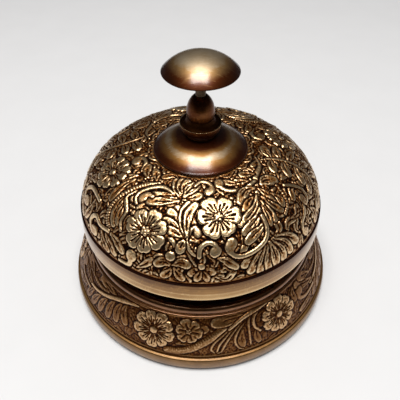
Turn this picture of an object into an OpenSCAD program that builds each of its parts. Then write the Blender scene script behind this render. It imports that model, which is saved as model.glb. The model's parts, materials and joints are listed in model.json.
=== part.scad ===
// Desk tap bell: a cast foot, a domed bell on a hollow post, and a push button whose
// rod tips a hammer lever inside the bell. Origin at the middle of the underside, +Z up.

/* [Foot] */
// Diameter over the foot
foot_d = 107; // [96:1:130]
// Height of the base up to the top of its bead ring
base_h = 26; // [21:0.5:32]
// Height of the smooth lip round the foot
foot_lip_h = 6.3; // [5:0.1:8]
// How far the foot lip stands out from the ornament band
foot_lip_w = 1.2; // [0.8:0.1:1.6]
// Diameter over the bead ring
ring_d = 89.6; // [74:0.2:90]
// Thickness of the bead ring's roll
ring_t = 3.2; // [2.6:0.1:4]
// Wall of the base casting
base_wall = 3; // [2.4:0.1:3.6]
// Depth of the deck below the bead ring's top
deck_drop = 6; // [4:0.5:8]
// Thickness of the deck
deck_t = 3; // [2.5:0.1:4]

/* [Underside] */
// Thickness of the felt pad
felt_t = 1.4; // [1:0.1:2]
// How far the felt stands proud of the casting
felt_proud = 0.8; // [0.4:0.1:0.9]
// Thickness of the cover plate
plate_t = 1.2; // [1:0.1:1.6]
// Width of casting left outside the cover plate
plate_rim = 3; // [2.6:0.1:4]
// Number of cover screws
cover_screw_n = 3; // [3:1:6]

/* [Bell] */
// Diameter of the bell's rim
bell_d = 92.6; // [77:0.2:112]
// Height of the bell from its rim to the flat seat on its crown
bell_h = 27.5; // [23:0.5:33]
// Wall of the bell
bell_wall = 2.2; // [1.8:0.1:2.7]
// Gap between the bead ring and the bell's rim
bell_gap = 8; // [6:0.5:10]
// Height of the plain turned band above the rim
band_h = 7.2; // [6:0.1:9]
// Width of the groove over the band
groove_w = 0.8; // [0.6:0.1:1.2]

/* [Crown] */
// Diameter of the collar disc
collar_d = 33.6; // [30:0.2:36]
// Height of the collar disc, up to the flat under the cup
collar_h = 6.2; // [5.2:0.1:7.4]
// Thickness of the collar disc's lip
collar_lip = 1.1; // [0.9:0.1:1.4]
// Diameter of the cup's lip
cup_d = 14.5; // [13:0.1:17.5]
// Height of the cup
cup_h = 4.8; // [4:0.1:5.8]
// Diameter of the cup's foot
cup_foot_d = 10.4; // [8.8:0.1:11]
// Largest diameter of the guide nut
nut_d = 9.6; // [8.4:0.1:11.5]
// Height of the guide nut from the cup's floor to its nose
nut_h = 12.55; // [10.5:0.05:15]
// Thickness of the fibre washers
washer_t = 0.8; // [0.5:0.1:1.2]

/* [Plunger] */
// Diameter of the rod
rod_d = 3.5; // [2.9:0.1:4.2]
// Travel of the button
travel = 5; // [4:0.1:6]
// Diameter of the button
button_d = 25.2; // [21:0.1:30]
// Height of the button's crown above its edge
button_crown = 5.6; // [4.6:0.1:6.7]
// Height of the boss under the button
boss_h = 2.8; // [2:0.1:3.4]
// Room left between the pressed button's boss and the guide nut
press_gap = 0.9; // [0.5:0.1:1.5]

/* [Post and spring] */
// Diameter of the post's barrel
post_d = 10; // [9.4:0.1:12]
// Wall of the post round the spring chamber
post_wall = 1.4; // [1.2:0.1:1.6]
// Diameter of the thread at the post's top
stud_d = 6; // [5.4:0.1:6.6]
// Wire diameter of the return spring
wire_d = 0.6; // [0.5:0.05:0.7]
// Turns of the return spring
spring_turns = 7; // [5:1:8]
// Length of the bush under the spring
bush_h = 3; // [2:0.1:4]

/* [Striker] */
// Distance of the lever's pivot from the rod's axis
pivot_x = 10; // [9.6:0.1:12]
// Diameter of the pivot pin
pin_d = 2; // [1.6:0.1:2.4]
// Thickness of the hammer lever
lever_t = 2.4; // [2:0.1:2.8]
// Width of the hammer lever's arms
lever_w = 2.5; // [2:0.1:3]
// Diameter of the hammer head
hammer_d = 9.2; // [7.7:0.1:11]
// Direction of the hammer from its pivot at full press, above level
strike_angle = 36; // [30:1:42]
// Thickness of the bracket's sheet
bracket_t = 1.4; // [1.2:0.1:1.7]

/* [Clearances] */
// Gap all round a running shaft
running_fit = 0.08; // [0.05:0.01:0.1]
// Gap all round the pivot pin
pin_fit = 0.05; // [0.03:0.01:0.08]
// Gap all round parts that are clamped or screwed together
seat_fit = 0.1; // [0.05:0.01:0.15]
// Gap on each side of the lever
side_gap = 0.3; // [0.2:0.05:0.4]
// Gap between the rod's foot and the lever
drive_gap = 0.2; // [0.15:0.05:0.3]
// Gap left between the pressed hammer and the bell
strike_gap = 0.4; // [0.3:0.05:0.6]

/* [Hidden] */
$fn = 96;

// Levels, from the table upwards
rim_z = felt_proud;
plate_top = felt_t + plate_t;
deck_z = base_h - deck_drop;
deck_under = deck_z - deck_t;
bell_z = base_h + bell_gap;
seat_z = bell_z + bell_h;
crown_z = seat_z - bell_wall;
shoulder_z = crown_z - washer_t;
collar_top = seat_z + collar_h;
cup_floor = collar_top + cup_h / 2;
nut_top = cup_floor + nut_h;
button_z = nut_top + press_gap + travel + boss_h;
button_top = button_z + button_crown;
rod_in = 2;

// Foot: lip, ornament band and bead ring
foot_r = foot_d / 2;
lip_r = foot_r - foot_lip_w;
lip_mid = (rim_z + foot_lip_h) / 2;
lip_half = (foot_lip_h - rim_z) / 2;
bead_r = ring_t / 2;
bead_c = ring_d / 2 - bead_r;
fillet_w = 0.6;
lip_step = 1.3;
band_inset = 0.3;
ring_step = 0.2;
band_low = [lip_r - band_inset, foot_lip_h + lip_step];
band_top = [ring_d / 2 + fillet_w, base_h - ring_t - ring_step];
band_bulge = 0.9;
plate_r = foot_r - plate_rim;
ledge_w = 2.7;
cover_boss_r = 3.4;
boss_relief = 0.3;
cover_screw_inset = 1.6;
cover_pcr = plate_r - ledge_w - cover_screw_inset;
screw_r = 1.5;
screw_fit = 0.05;
screw_head_r = 2.9;
screw_head_h = 1.8;
cover_screw_l = 8;
felt_inset = 0.6;

// Bell: plain band, groove and dome
bell_r = bell_d / 2;
band_taper = 0.45;
edge_break = 0.3;
groove_depth = 0.6;
dome_inset = 0.7;
dome_r = bell_r - dome_inset;
dome_sink = 3.2;
dome_foot = bell_z + dome_sink;
crown_cut = 0.65;
dome_h = seat_z + crown_cut - dome_foot;
dome_steps = 14;
side_power = 0.6;
rise_power = 0.95;
dome_low = asin(pow((bell_z + band_h + groove_w - dome_foot) / dome_h, 1 / rise_power));
dome_high = asin(pow((seat_z - dome_foot) / dome_h, 1 / rise_power));

// Post, from its thread under the deck to the stud inside the guide nut
post_r = post_d / 2;
chamber_r = post_r - post_wall;
stud_r = stud_d / 2;
rod_r = rod_d / 2;
guide_r = rod_r + running_fit;
bracket_top = deck_z + bracket_t;
flange_w = 1.3;
flange_r = post_r + flange_w;
flange_h = 2;
shoulder_w = 1.6;
shoulder_r = post_r + shoulder_w;
shoulder_t = 1.6;
rod_relief = 0.35;
post_washer_t = 1;
post_nut_h = 4;
post_nut_w = 5;
post_nut_af = post_d + post_nut_w;
thread_out = 1;
nose_t = 3.3;
stud_room = 0.4;
stud_top = nut_top - nose_t - stud_room;
post_foot = deck_under - post_washer_t - post_nut_h - thread_out;

// Spring chamber, downwards from the shoulder
clip_t = 0.6;
clip_fit = 0.05;
clip_room = 0.5;
clip_r = chamber_r - clip_room;
top_gap = 0.1;
clip_top = shoulder_z - shoulder_t - top_gap;
spring_top = clip_top - clip_t;
spring_slack = 0.2;
spring_len = travel + (spring_turns + 1) * wire_d + spring_slack;
spring_fit = 0.625;
spring_r = rod_r + spring_fit + wire_d / 2;
spring_sides = 6;
spring_ring_n = 16;
spring_gap_z = 0.05;
spring_span = spring_len - wire_d - 2 * spring_gap_z;
end_pitch = 1.05 * wire_d;
bush_top = spring_top - spring_len;
bush_foot = bush_top - bush_h;
rod_out = 1.5;
rod_foot = bush_foot - rod_out;

// Lever: its tip lies under the rod's round foot, and its head swings up to the bell
tip_over = 0.25;
tip_r = lever_w / 2 + tip_over;
drive_l = tip_r + rod_r + drive_gap;
pivot_z = rod_foot - drive_gap - tip_r;
foot_drop = drive_l - travel;
pivot_rod = norm([pivot_x, foot_drop]);
swing = acos((pow(pivot_rod, 2) + pow(pivot_x, 2) - pow(drive_l, 2)) / (2 * pivot_rod * pivot_x))
    - atan2(foot_drop, pivot_x);
hammer_r = hammer_d / 2;
rest_angle = strike_angle - swing;
hub_w = 1.8;
hub_r = pin_d / 2 + hub_w;
eye_inset = 2;
eye_r = hammer_r - eye_inset;
rivet_r = 1;
rivet_fit = 0.02;
ear_gap = lever_t / 2 + side_gap;
ear_inset = 0.3;
ear_w = 2 * (hub_r - ear_inset);
pin_out = ear_gap + bracket_t;
pin_head_w = 0.8;
pin_head_h = 0.7;
pin_end = 1.3;
pin_groove = [0.1, 0.5];
pin_groove_depth = 0.3;
slot_extra = 0.2;
slot_half = lever_t / 2 + side_gap + slot_extra;
slot_land = 0.6;
slot_top = bush_foot - slot_land;
slot_room = 1.2;
slot_foot = pivot_z - pivot_x * sin(swing) - tip_r - slot_room;
bracket_screw_x = pivot_x + hub_r + screw_head_r + 0.1;
bracket_lap = 4;
bracket_r = post_r + bracket_lap;

// Point of the dome's outside at angle t, or of its inside when inset is the wall
function dome_point(t, inset) =
    [(dome_r - inset) * pow(cos(t), side_power), dome_foot + (dome_h - inset) * pow(sin(t), rise_power)];

// Point of the ornament band, u from 0 at its foot to 1 at its top
function band_point(u) =
    band_low + u * (band_top - band_low) + band_bulge * sin(180 * u) * [0.92, 0.4];

// Gap between the hammer and the bell's inside with the lever's arm at length l
function strike_room(l) =
    min([for (t = [2:2:86])
        norm([pivot_x + l * cos(strike_angle), pivot_z + l * sin(strike_angle)]
            - dome_point(t, bell_wall))]) - hammer_r;

// Longest arm between a and b that keeps the strike gap, by halving n times
function reach(a, b, n) =
    n == 0 ? a
    : strike_room((a + b) / 2) > strike_gap ? reach((a + b) / 2, b, n - 1)
    : reach(a, (a + b) / 2, n - 1);
hammer_arm = reach(hub_r + hammer_r, bell_r, 16);

// A cylinder along Y, centred at x, z
module cross_pin(x, z, r, l) {
    translate([x, 0, z])
        rotate([90, 0, 0])
            cylinder(r = r, h = l, center = true);
}

// A flat ring
module ring(outer, inner, h) {
    difference() {
        cylinder(r = outer, h = h);
        translate([0, 0, -1])
            cylinder(r = inner, h = h + 2);
    }
}

// Places its children at each cover screw
module at_cover_screws() {
    for (i = [0:cover_screw_n - 1])
        rotate([0, 0, 90 + i * 360 / cover_screw_n])
            translate([cover_pcr, 0, 0])
                children();
}

module felt_pad() {
    color("#1d2a22")
        cylinder(r = plate_r - felt_inset, h = felt_t);
}

module cover_plate() {
    plate_fit = 0.06;
    color("#8d8f90")
        difference() {
            translate([0, 0, felt_t])
                cylinder(r = plate_r, h = plate_t);
            at_cover_screws() {
                translate([0, 0, felt_t - 0.01])
                    cylinder(r1 = screw_head_r + plate_fit, r2 = screw_r + plate_fit, h = plate_t);
                cylinder(r = screw_r + plate_fit, h = plate_top + 1);
            }
        }
}

module cover_screws() {
    color("#b9b9b4")
        at_cover_screws()
            translate([0, 0, felt_t])
                rotate_extrude()
                    polygon([[0, 0], [screw_head_r, 0], [screw_r, plate_t], [screw_r, cover_screw_l],
                        [0, cover_screw_l]]);
}

// Outline of the casting: lip, band and bead ring outside, deck and hollow inside
module base_outline() {
    lip = [for (a = [-90:10:90]) [lip_r + foot_lip_w * sqrt(cos(a)), lip_mid + lip_half * sin(a)]];
    band = [for (i = [0:10]) band_point(i / 10)];
    bead = [for (a = [20:20:180]) [bead_c + bead_r * cos(a), base_h - bead_r + bead_r * sin(a)]];
    corner_r = lookup(deck_under, [for (p = band) [p.y, p.x]]) - base_wall;
    polygon(concat(
        lip,
        [[lip_r - 2 * band_inset, foot_lip_h + 0.4 * lip_step - 0.02]],
        band,
        [[ring_d / 2 + ring_step, base_h - ring_t + 2 * ring_step],
            [ring_d / 2 - fillet_w / 2, base_h - ring_t + ring_step / 2]],
        bead,
        [[bead_c - bead_r, deck_z], [post_r + seat_fit, deck_z], [post_r + seat_fit, deck_under],
            [corner_r, deck_under]],
        [for (i = [9:-1:0]) if (band[i].y < deck_under - 0.5) [band[i].x - base_wall, band[i].y]],
        [[plate_r - ledge_w, plate_top], [plate_r + seat_fit, plate_top], [plate_r + seat_fit, rim_z]]
    ));
}

module base_casting() {
    color("#6b4a2c")
        difference() {
            union() {
                rotate_extrude()
                    base_outline();
                at_cover_screws()
                    translate([0, 0, plate_top + boss_relief])
                        cylinder(r = cover_boss_r, h = cover_screw_l);
            }
            at_cover_screws()
                translate([0, 0, plate_top - 1])
                    cylinder(r = screw_r + screw_fit, h = cover_screw_l);
            translate([bracket_screw_x, 0, deck_under - 1])
                cylinder(r = screw_r + screw_fit, h = deck_t + 2);
        }
}

// Turned post: thread, flange, barrel, shoulder and stud, with the spring's bore from below
module post() {
    lap = 0.5;
    color("#a9a49a")
        difference() {
            union() {
                translate([0, 0, post_foot])
                    cylinder(r = post_r, h = shoulder_z - post_foot);
                translate([0, 0, bracket_top])
                    cylinder(r = flange_r, h = flange_h);
                translate([0, 0, shoulder_z - shoulder_t])
                    cylinder(r = shoulder_r, h = shoulder_t);
                translate([0, 0, shoulder_z - lap])
                    cylinder(r = stud_r, h = stud_top - shoulder_z + lap);
            }
            translate([0, 0, post_foot - 1])
                cylinder(r = chamber_r, h = shoulder_z - shoulder_t - post_foot + 1);
            translate([0, 0, shoulder_z - shoulder_t - 1])
                cylinder(r = rod_r + rod_relief, h = stud_top - shoulder_z + shoulder_t + 2);
            translate([0, -slot_half, slot_foot])
                cube([post_r + 1, 2 * slot_half, slot_top - slot_foot]);
        }
}

module post_washer() {
    margin = 1.4;
    color("#c3c3bd")
        translate([0, 0, deck_under - post_washer_t])
            ring(post_nut_af / 2 + margin, post_r + seat_fit, post_washer_t);
}

module post_nut() {
    color("#c3c3bd")
        translate([0, 0, deck_under - post_washer_t - post_nut_h])
            difference() {
                cylinder(d = post_nut_af / cos(30), h = post_nut_h, $fn = 6);
                translate([0, 0, -1])
                    cylinder(r = post_r + screw_fit, h = post_nut_h + 2);
            }
}

module post_bush() {
    bush_fit = 0.02;
    color("#b08a4a")
        translate([0, 0, bush_foot])
            ring(chamber_r - bush_fit, guide_r, bush_h);
}

// Strap under the post's flange, with two ears for the pivot pin
module pivot_bracket() {
    strap_end = 3;
    pin_hole_r = pin_d / 2 + 0.02;
    color("#9a9c9e")
        difference() {
            union() {
                translate([0, 0, deck_z])
                    cylinder(r = bracket_r, h = bracket_t);
                translate([0, -pin_out, deck_z])
                    cube([bracket_screw_x + strap_end, 2 * pin_out, bracket_t]);
                for (side = [-1, 1])
                    translate([0, side * (ear_gap + bracket_t / 2), 0]) {
                        translate([pivot_x - ear_w / 2, -bracket_t / 2, deck_z + bracket_t / 2])
                            cube([ear_w, bracket_t, pivot_z - deck_z - bracket_t / 2]);
                        cross_pin(pivot_x, pivot_z, hub_r, bracket_t);
                    }
            }
            translate([0, 0, deck_z - 1])
                cylinder(r = post_r + seat_fit, h = bracket_t + 2);
            translate([bracket_screw_x, 0, deck_z - 1])
                cylinder(r = screw_r + seat_fit, h = bracket_t + 2);
            cross_pin(pivot_x, pivot_z, pin_hole_r, 4 * pin_out);
        }
}

module bracket_screw() {
    head_r = screw_head_r - 0.2;
    slot_w = 0.8;
    end_out = 1.5;
    color("#b9b9b4")
        translate([bracket_screw_x, 0, 0])
            difference() {
                union() {
                    translate([0, 0, bracket_top])
                        cylinder(r = head_r, h = screw_head_h);
                    translate([0, 0, deck_under - end_out])
                        cylinder(r = screw_r, h = bracket_top - deck_under + end_out + 0.5);
                }
                translate([-screw_head_r, -slot_w / 2, bracket_top + 1])
                    cube([2 * screw_head_r, slot_w, 2]);
            }
}

// Axle with a head at one side and a groove for its ring at the other
module pivot_pin() {
    pin_r = pin_d / 2;
    groove_r = pin_r - pin_groove_depth;
    color("#c9c9c6")
        translate([pivot_x, 0, pivot_z])
            rotate([90, 0, 0])
                rotate_extrude()
                    polygon([[0, -pin_out - pin_end], [pin_r, -pin_out - pin_end],
                        [pin_r, -pin_out - pin_groove[1]], [groove_r, -pin_out - pin_groove[1]],
                        [groove_r, -pin_out - pin_groove[0]], [pin_r, -pin_out - pin_groove[0]],
                        [pin_r, pin_out], [pin_r + pin_head_w, pin_out],
                        [pin_r + pin_head_w, pin_out + pin_head_h], [0, pin_out + pin_head_h]]);
}

module pin_clip() {
    play = 0.02;
    thickness = pin_groove[1] - pin_groove[0] - 2 * play;
    color("#4a4c4e")
        translate([pivot_x, pin_out + pin_groove[0] + play, pivot_z])
            rotate([-90, 0, 0])
                difference() {
                    ring(pin_d / 2 + 1, pin_d / 2 - pin_groove_depth + play, thickness);
                    translate([-pin_d / 4, 0, -1])
                        cube([pin_d / 2, pin_d + 2, 3]);
                }
}

module lower_washer() {
    color("#5a3a26")
        translate([0, 0, shoulder_z])
            ring(shoulder_r, stud_r + seat_fit, washer_t);
}

// Outline of the bell's wall, from the rim up the outside and back down the inside
module bell_outline() {
    band_z = bell_z + band_h;
    groove_r = bell_r - band_taper - groove_depth;
    rim_in = bell_r - bell_wall - 0.5;
    outside = [for (i = [0:dome_steps]) dome_point(dome_low + i * (dome_high - dome_low) / dome_steps, 0)];
    crown_t = asin(pow((crown_z - dome_foot) / (dome_h - bell_wall), 1 / rise_power));
    inside = [for (i = [dome_steps:-1:0]) dome_point(i * crown_t / dome_steps, bell_wall)];
    polygon(concat(
        [[rim_in, bell_z], [bell_r - edge_break, bell_z], [bell_r, bell_z + edge_break],
            [bell_r - band_taper, band_z], [groove_r, band_z + edge_break / 2],
            [groove_r, band_z + groove_w / 2]],
        outside,
        [[stud_r + seat_fit, seat_z], [stud_r + seat_fit, crown_z]],
        inside
    ));
}

module bell() {
    color("#b08a55")
        rotate_extrude()
            bell_outline();
}

module upper_washer() {
    color("#5a3a26")
        translate([0, 0, seat_z])
            ring(shoulder_r, stud_r + seat_fit, washer_t);
}

// Domed disc: it rests on the bell at its rim and on the washer in its recess
module collar_disc() {
    collar_r = collar_d / 2;
    crown_r = collar_r - 0.5;
    recess_r = shoulder_r + 0.2;
    flat_r = cup_foot_d / 2 + 0.2;
    ball_z = (pow(crown_r, 2) - pow(flat_r, 2) + pow(collar_lip, 2) - pow(collar_h, 2))
        / (2 * (collar_lip - collar_h));
    ball_r = norm([flat_r, collar_h - ball_z]);
    flat_a = asin(flat_r / ball_r);
    edge_a = asin(crown_r / ball_r);
    crown = [for (i = [0:12])
        let (a = edge_a + i * (flat_a - edge_a) / 12)
        [ball_r * sin(a), ball_z + ball_r * cos(a)]];
    color("#9c7440")
        translate([0, 0, seat_z])
            rotate_extrude()
                polygon(concat(
                    [[recess_r, 0], [collar_r - edge_break, 0], [collar_r, edge_break],
                        [collar_r, collar_lip - edge_break], [(collar_r + crown_r) / 2, collar_lip]],
                    crown,
                    [[stud_r + seat_fit, collar_h], [stud_r + seat_fit, washer_t],
                        [recess_r, washer_t]]
                ));
}

// Turned cup: a foot, a round bowl and a thin lip
module cup_ferrule() {
    foot = cup_foot_d / 2;
    lip = cup_d / 2;
    wall = 0.6;
    neck = foot - 0.2;
    nut_room = 0.3;
    bowl_z = cup_h * 0.18;
    bowl_h = cup_h - bowl_z;
    outside = [for (i = [0:10])
        [neck + (lip - neck) * sin(9 * i), bowl_z + bowl_h * (1 - cos(9 * i))]];
    inside = [for (i = [10:-1:6])
        [neck - wall + (lip - neck) * sin(9 * i), bowl_z + bowl_h * (1 - cos(9 * i))]];
    color("#7a5430")
        translate([0, 0, collar_top])
            rotate_extrude()
                polygon(concat(
                    [[stud_r + seat_fit, 0], [foot, 0], [foot + 0.1, bowl_z / 2], [neck, bowl_z * 0.9]],
                    outside,
                    [for (p = inside) if (p.y > cup_h / 2 + nut_room) p],
                    [[nut_d / 2 + nut_room, cup_h / 2], [stud_r + seat_fit, cup_h / 2]]
                ));
}

// Round-nosed nut: a waist in the cup, a belly, then the nose with the rod's guide hole
module guide_nut() {
    belly_r = nut_d / 2;
    waist_r = belly_r - 0.7;
    belly_z = nut_h * 0.5;
    nose_r = guide_r + 0.25;
    thread_r = stud_r + screw_fit;
    thread_top = stud_top + stud_room - cup_floor;
    nose_a = acos(nose_r / belly_r);
    nose = [for (i = [0:10])
        let (a = i * nose_a / 10)
        [belly_r * cos(a), belly_z + (nut_h - belly_z) * sin(a) / sin(nose_a)]];
    color("#6f4c2a")
        translate([0, 0, cup_floor])
            rotate_extrude()
                polygon(concat(
                    [[thread_r, 0], [waist_r, 0], [waist_r + 0.2, belly_z * 0.55],
                        [belly_r - 0.15, belly_z * 0.7]],
                    nose,
                    [[guide_r, nut_h - 0.2], [guide_r, thread_top], [thread_r, thread_top]]
                ));
}

// Rod with a round foot, a groove for its ring and a stud in the button
module plunger_rod() {
    groove_r = rod_r - 0.4;
    round_foot = [for (i = [1:8])
        [rod_r * sin(90 * i / 8), rod_foot + rod_r * (1 - cos(90 * i / 8))]];
    color("#8f8a80")
        rotate_extrude()
            polygon(concat(
                [[0, rod_foot]],
                round_foot,
                [[rod_r, spring_top - clip_fit], [groove_r, spring_top - clip_fit],
                    [groove_r, clip_top + clip_fit], [rod_r, clip_top + clip_fit],
                    [rod_r, button_z + rod_in], [0, button_z + rod_in]]
            ));
}

// Button: a spherical crown with a thin edge, hollowed below round a boss
module button() {
    rim_r = button_d / 2;
    edge = 0.35;
    ball_r = (pow(rim_r, 2) + pow(button_crown, 2)) / (2 * button_crown);
    edge_a = asin(rim_r / ball_r);
    boss_r = rod_r + 1.5;
    hole_r = rod_r + 0.02;
    hole_top = button_z + rod_in + 0.05;
    skin = 1.3;
    under_r = ball_r - skin;
    under_a = asin((rim_r - 0.8) / ball_r);
    boss_a = asin(boss_r / ball_r);
    crown = [for (i = [0:14])
        let (a = edge_a * (1 - i / 14))
        [i == 14 ? 0 : ball_r * sin(a), button_top - ball_r * (1 - cos(a))]];
    under = [for (i = [0:8])
        let (a = boss_a + i * (under_a - boss_a) / 8)
        [under_r * sin(a), button_top - skin - under_r * (1 - cos(a))]];
    color("#b08a55")
        rotate_extrude()
            polygon(concat(
                [for (p = under) if (p.y > button_z - edge) p],
                [[rim_r - 0.5, button_z - edge], [rim_r - 0.1, button_z - edge / 2]],
                crown,
                [[0, hole_top], [hole_r, hole_top], [hole_r, button_z - boss_h],
                    [boss_r - 0.3, button_z - boss_h], [boss_r, button_z - boss_h + 0.4]]
            ));
}

module rod_clip() {
    mouth = 1.4 * rod_r;
    color("#4a4c4e")
        translate([0, 0, spring_top])
            difference() {
                ring(clip_r, rod_r - 0.38, clip_t);
                translate([-mouth / 2, 0, -1])
                    cube([mouth, clip_r + 1, clip_t + 2]);
            }
}

// Coil spring as a swept ring of sides along a helix, its end turns lying flat
function spring_z(u) =
    let (flat = 1 / spring_turns, v = min(1, max(0, (u - flat) / (1 - 2 * flat))))
    end_pitch * (min(u, flat) + max(0, u - 1 + flat)) / flat + (spring_span - 2 * end_pitch) * v;
module return_spring() {
    rings = spring_turns * spring_ring_n;
    points = [for (i = [0:rings], s = [0:spring_sides - 1])
        let (
            a = 360 * i / spring_ring_n,
            b = 360 * s / spring_sides,
            r = spring_r + wire_d / 2 * cos(b)
        )
        [r * cos(a), r * sin(a),
            bush_top + spring_gap_z + wire_d / 2 + spring_z(i / rings) + wire_d / 2 * sin(b)]];
    walls = [for (i = [0:rings - 1], s = [0:spring_sides - 1])
        let (a = i * spring_sides, t = (s + 1) % spring_sides)
        [a + s, a + spring_sides + s, a + spring_sides + t, a + t]];
    caps = [
        [for (s = [0:spring_sides - 1]) s],
        [for (s = [spring_sides - 1:-1:0]) rings * spring_sides + s]
    ];
    color("#b4b6b8")
        polyhedron(points = points, faces = concat(walls, caps));
}

// Rocking lever: a tip under the rod, a hub on the pin and an arm out to the hammer
module hammer_lever() {
    color("#a08a5c")
        difference() {
            union() {
                cross_pin(pivot_x, pivot_z, hub_r, lever_t);
                cross_pin(0, pivot_z, tip_r, lever_t);
                translate([0, -lever_t / 2, pivot_z - lever_w / 2])
                    cube([pivot_x, lever_t, lever_w]);
                translate([pivot_x, 0, pivot_z])
                    rotate([0, -rest_angle, 0]) {
                        translate([0, -lever_t / 2, -lever_w / 2])
                            cube([hammer_arm, lever_t, lever_w]);
                        cross_pin(hammer_arm, 0, eye_r, lever_t);
                    }
            }
            cross_pin(pivot_x, pivot_z, pin_d / 2 + pin_fit, 2 * lever_t);
            translate([pivot_x, 0, pivot_z])
                rotate([0, -rest_angle, 0])
                    cross_pin(hammer_arm, 0, rivet_r + 1.5 * rivet_fit, 2 * lever_t);
        }
}

// Ball head, slotted over the lever's eye
module hammer_head() {
    slot = lever_t / 2 + seat_fit;
    color("#a9824a")
        translate([pivot_x, 0, pivot_z])
            rotate([0, -rest_angle, 0])
                translate([hammer_arm, 0, 0])
                    difference() {
                        sphere(r = hammer_r);
                        translate([-hammer_r - 1, -slot, -hammer_r - 1])
                            cube([hammer_r + 1 + eye_r + seat_fit, 2 * slot, 2 * hammer_r + 2]);
                        cross_pin(0, 0, rivet_r + rivet_fit, 2 * hammer_d);
                    }
}

module hammer_rivet() {
    color("#c9c9c6")
        translate([pivot_x, 0, pivot_z])
            rotate([0, -rest_angle, 0])
                cross_pin(hammer_arm, 0, rivet_r, hammer_d + 0.1);
}

felt_pad();
cover_plate();
cover_screws();
base_casting();
post();
post_washer();
post_nut();
post_bush();
pivot_bracket();
bracket_screw();
pivot_pin();
pin_clip();
lower_washer();
bell();
upper_washer();
collar_disc();
cup_ferrule();
guide_nut();
plunger_rod();
button();
rod_clip();
return_spring();
hammer_lever();
hammer_head();
hammer_rivet();
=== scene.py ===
import json
import math

import bpy
import numpy as np
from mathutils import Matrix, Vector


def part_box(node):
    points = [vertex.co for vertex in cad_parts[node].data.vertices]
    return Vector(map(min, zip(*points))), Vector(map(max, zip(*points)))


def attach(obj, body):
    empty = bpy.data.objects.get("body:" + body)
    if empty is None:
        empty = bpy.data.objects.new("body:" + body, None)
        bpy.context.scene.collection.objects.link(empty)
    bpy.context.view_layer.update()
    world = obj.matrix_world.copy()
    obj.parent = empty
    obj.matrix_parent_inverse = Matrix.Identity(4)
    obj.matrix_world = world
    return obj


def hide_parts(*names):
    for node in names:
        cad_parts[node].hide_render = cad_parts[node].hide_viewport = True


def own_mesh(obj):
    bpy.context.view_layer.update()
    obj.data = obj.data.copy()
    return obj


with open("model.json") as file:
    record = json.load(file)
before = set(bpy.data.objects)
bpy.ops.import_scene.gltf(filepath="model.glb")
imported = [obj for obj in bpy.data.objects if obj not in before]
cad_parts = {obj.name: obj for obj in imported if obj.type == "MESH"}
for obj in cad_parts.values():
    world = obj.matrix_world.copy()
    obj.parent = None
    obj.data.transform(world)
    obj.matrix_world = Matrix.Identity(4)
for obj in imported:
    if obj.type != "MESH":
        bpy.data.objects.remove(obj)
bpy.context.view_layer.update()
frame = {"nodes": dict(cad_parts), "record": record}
mm = 0.001  # profiles below are in millimetres

# camera, first

view = {
    "distance": 0.1298,  # in front of the axis
    "height": 0.1591,
    "tilt": 46.36,  # degrees up from straight down
    "lens": 40.55,
    "shift": -0.0016,
    "nearest": 0.01,
}

cameraData = bpy.data.cameras.new("camera")
cameraData.sensor_width = 36
cameraData.lens = view["lens"]
cameraData.shift_x = view["shift"]
cameraData.clip_start = view["nearest"]
camera = bpy.data.objects.new("camera", cameraData)
camera.location = (0, -view["distance"], view["height"])
camera.rotation_euler = (math.radians(view["tilt"]), 0, 0)
bpy.context.scene.collection.objects.link(camera)
bpy.context.scene.camera = camera
bpy.context.scene.view_settings.view_transform = "Standard"

# small helpers


def linear(hexColour):
    # sRGB to linear: c / 12.92 in the darkest part, ((c + 0.055) / 1.055) to the power 2.4 above it
    parts = [int(hexColour[i : i + 2], 16) / 255 for i in (1, 3, 5)]
    return tuple(c / 12.92 if c <= 0.04045 else ((c + 0.055) / 1.055) ** 2.4 for c in parts) + (1,)


def add(tree, kind, links=None, stops=None, **settings):
    # links: input name or number -> constant, or (node, output)
    # stops: place and colour, or grey, along a ramp
    made = tree.nodes.new("ShaderNode" + kind)
    for key, value in settings.items():
        setattr(made, key, value)
    for key, value in (links or {}).items():
        if isinstance(value, tuple) and hasattr(value[0], "outputs"):
            tree.links.new(value[0].outputs[value[1]], made.inputs[key])
        else:
            made.inputs[key].default_value = value
    if stops:
        elements = made.color_ramp.elements
        while len(elements) < len(stops):
            elements.new(0.5)
        for element, (place, colour) in zip(elements, stops):
            element.position = place
            element.color = linear(colour) if isinstance(colour, str) else (colour, colour, colour, 1)
    return made


def newMaterial(name):
    made = bpy.data.materials.new(name)
    made.use_nodes = True
    made.node_tree.nodes.clear()
    return made, made.node_tree


def smooth(x, a, b):
    # 0 before a, 1 past b, and 3 t squared - 2 t cubed between them
    t = np.clip((x - a) / (b - a), 0, 1)
    return t * t * (3 - 2 * t)


def arc(centre, radius, start, end, count):
    # points of a circular arc in the (radius, height) plane, angles in degrees
    a = np.radians(np.linspace(start, end, count))
    return [(centre[0] + radius * math.cos(t), centre[1] + radius * math.sin(t)) for t in a]


def eased(points, bevel, closed):
    # rounds every corner of an outline by about bevel
    points = [np.array(p, float) for p in points]
    out, n = [], len(points)
    for i, p in enumerate(points):
        if not closed and i in (0, n - 1):
            out.append(p)
            continue
        before, after = points[i - 1] - p, points[(i + 1) % n] - p
        la, lb = np.hypot(*before), np.hypot(*after)
        straightness = -before @ after / (la * lb)
        if straightness > 0.96:
            out.append(p)
            continue
        a, c = p + before / la * min(bevel, 0.35 * la), p + after / lb * min(bevel, 0.35 * lb)
        out += [a, 0.25 * a + 0.5 * p + 0.25 * c, c]
    return out


def ringPoints(r, z, count):
    # a circle round the axis from the front: x = r sin a, y = -r cos a; one point where r is 0
    if np.max(r) < 1e-6:
        return np.array([[0, 0, z]])
    a = 2 * np.pi * np.arange(count) / count
    r, z = np.broadcast_to(r, count), np.broadcast_to(z, count)
    return np.stack([r * np.sin(a), -r * np.cos(a), z], 1)


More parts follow.
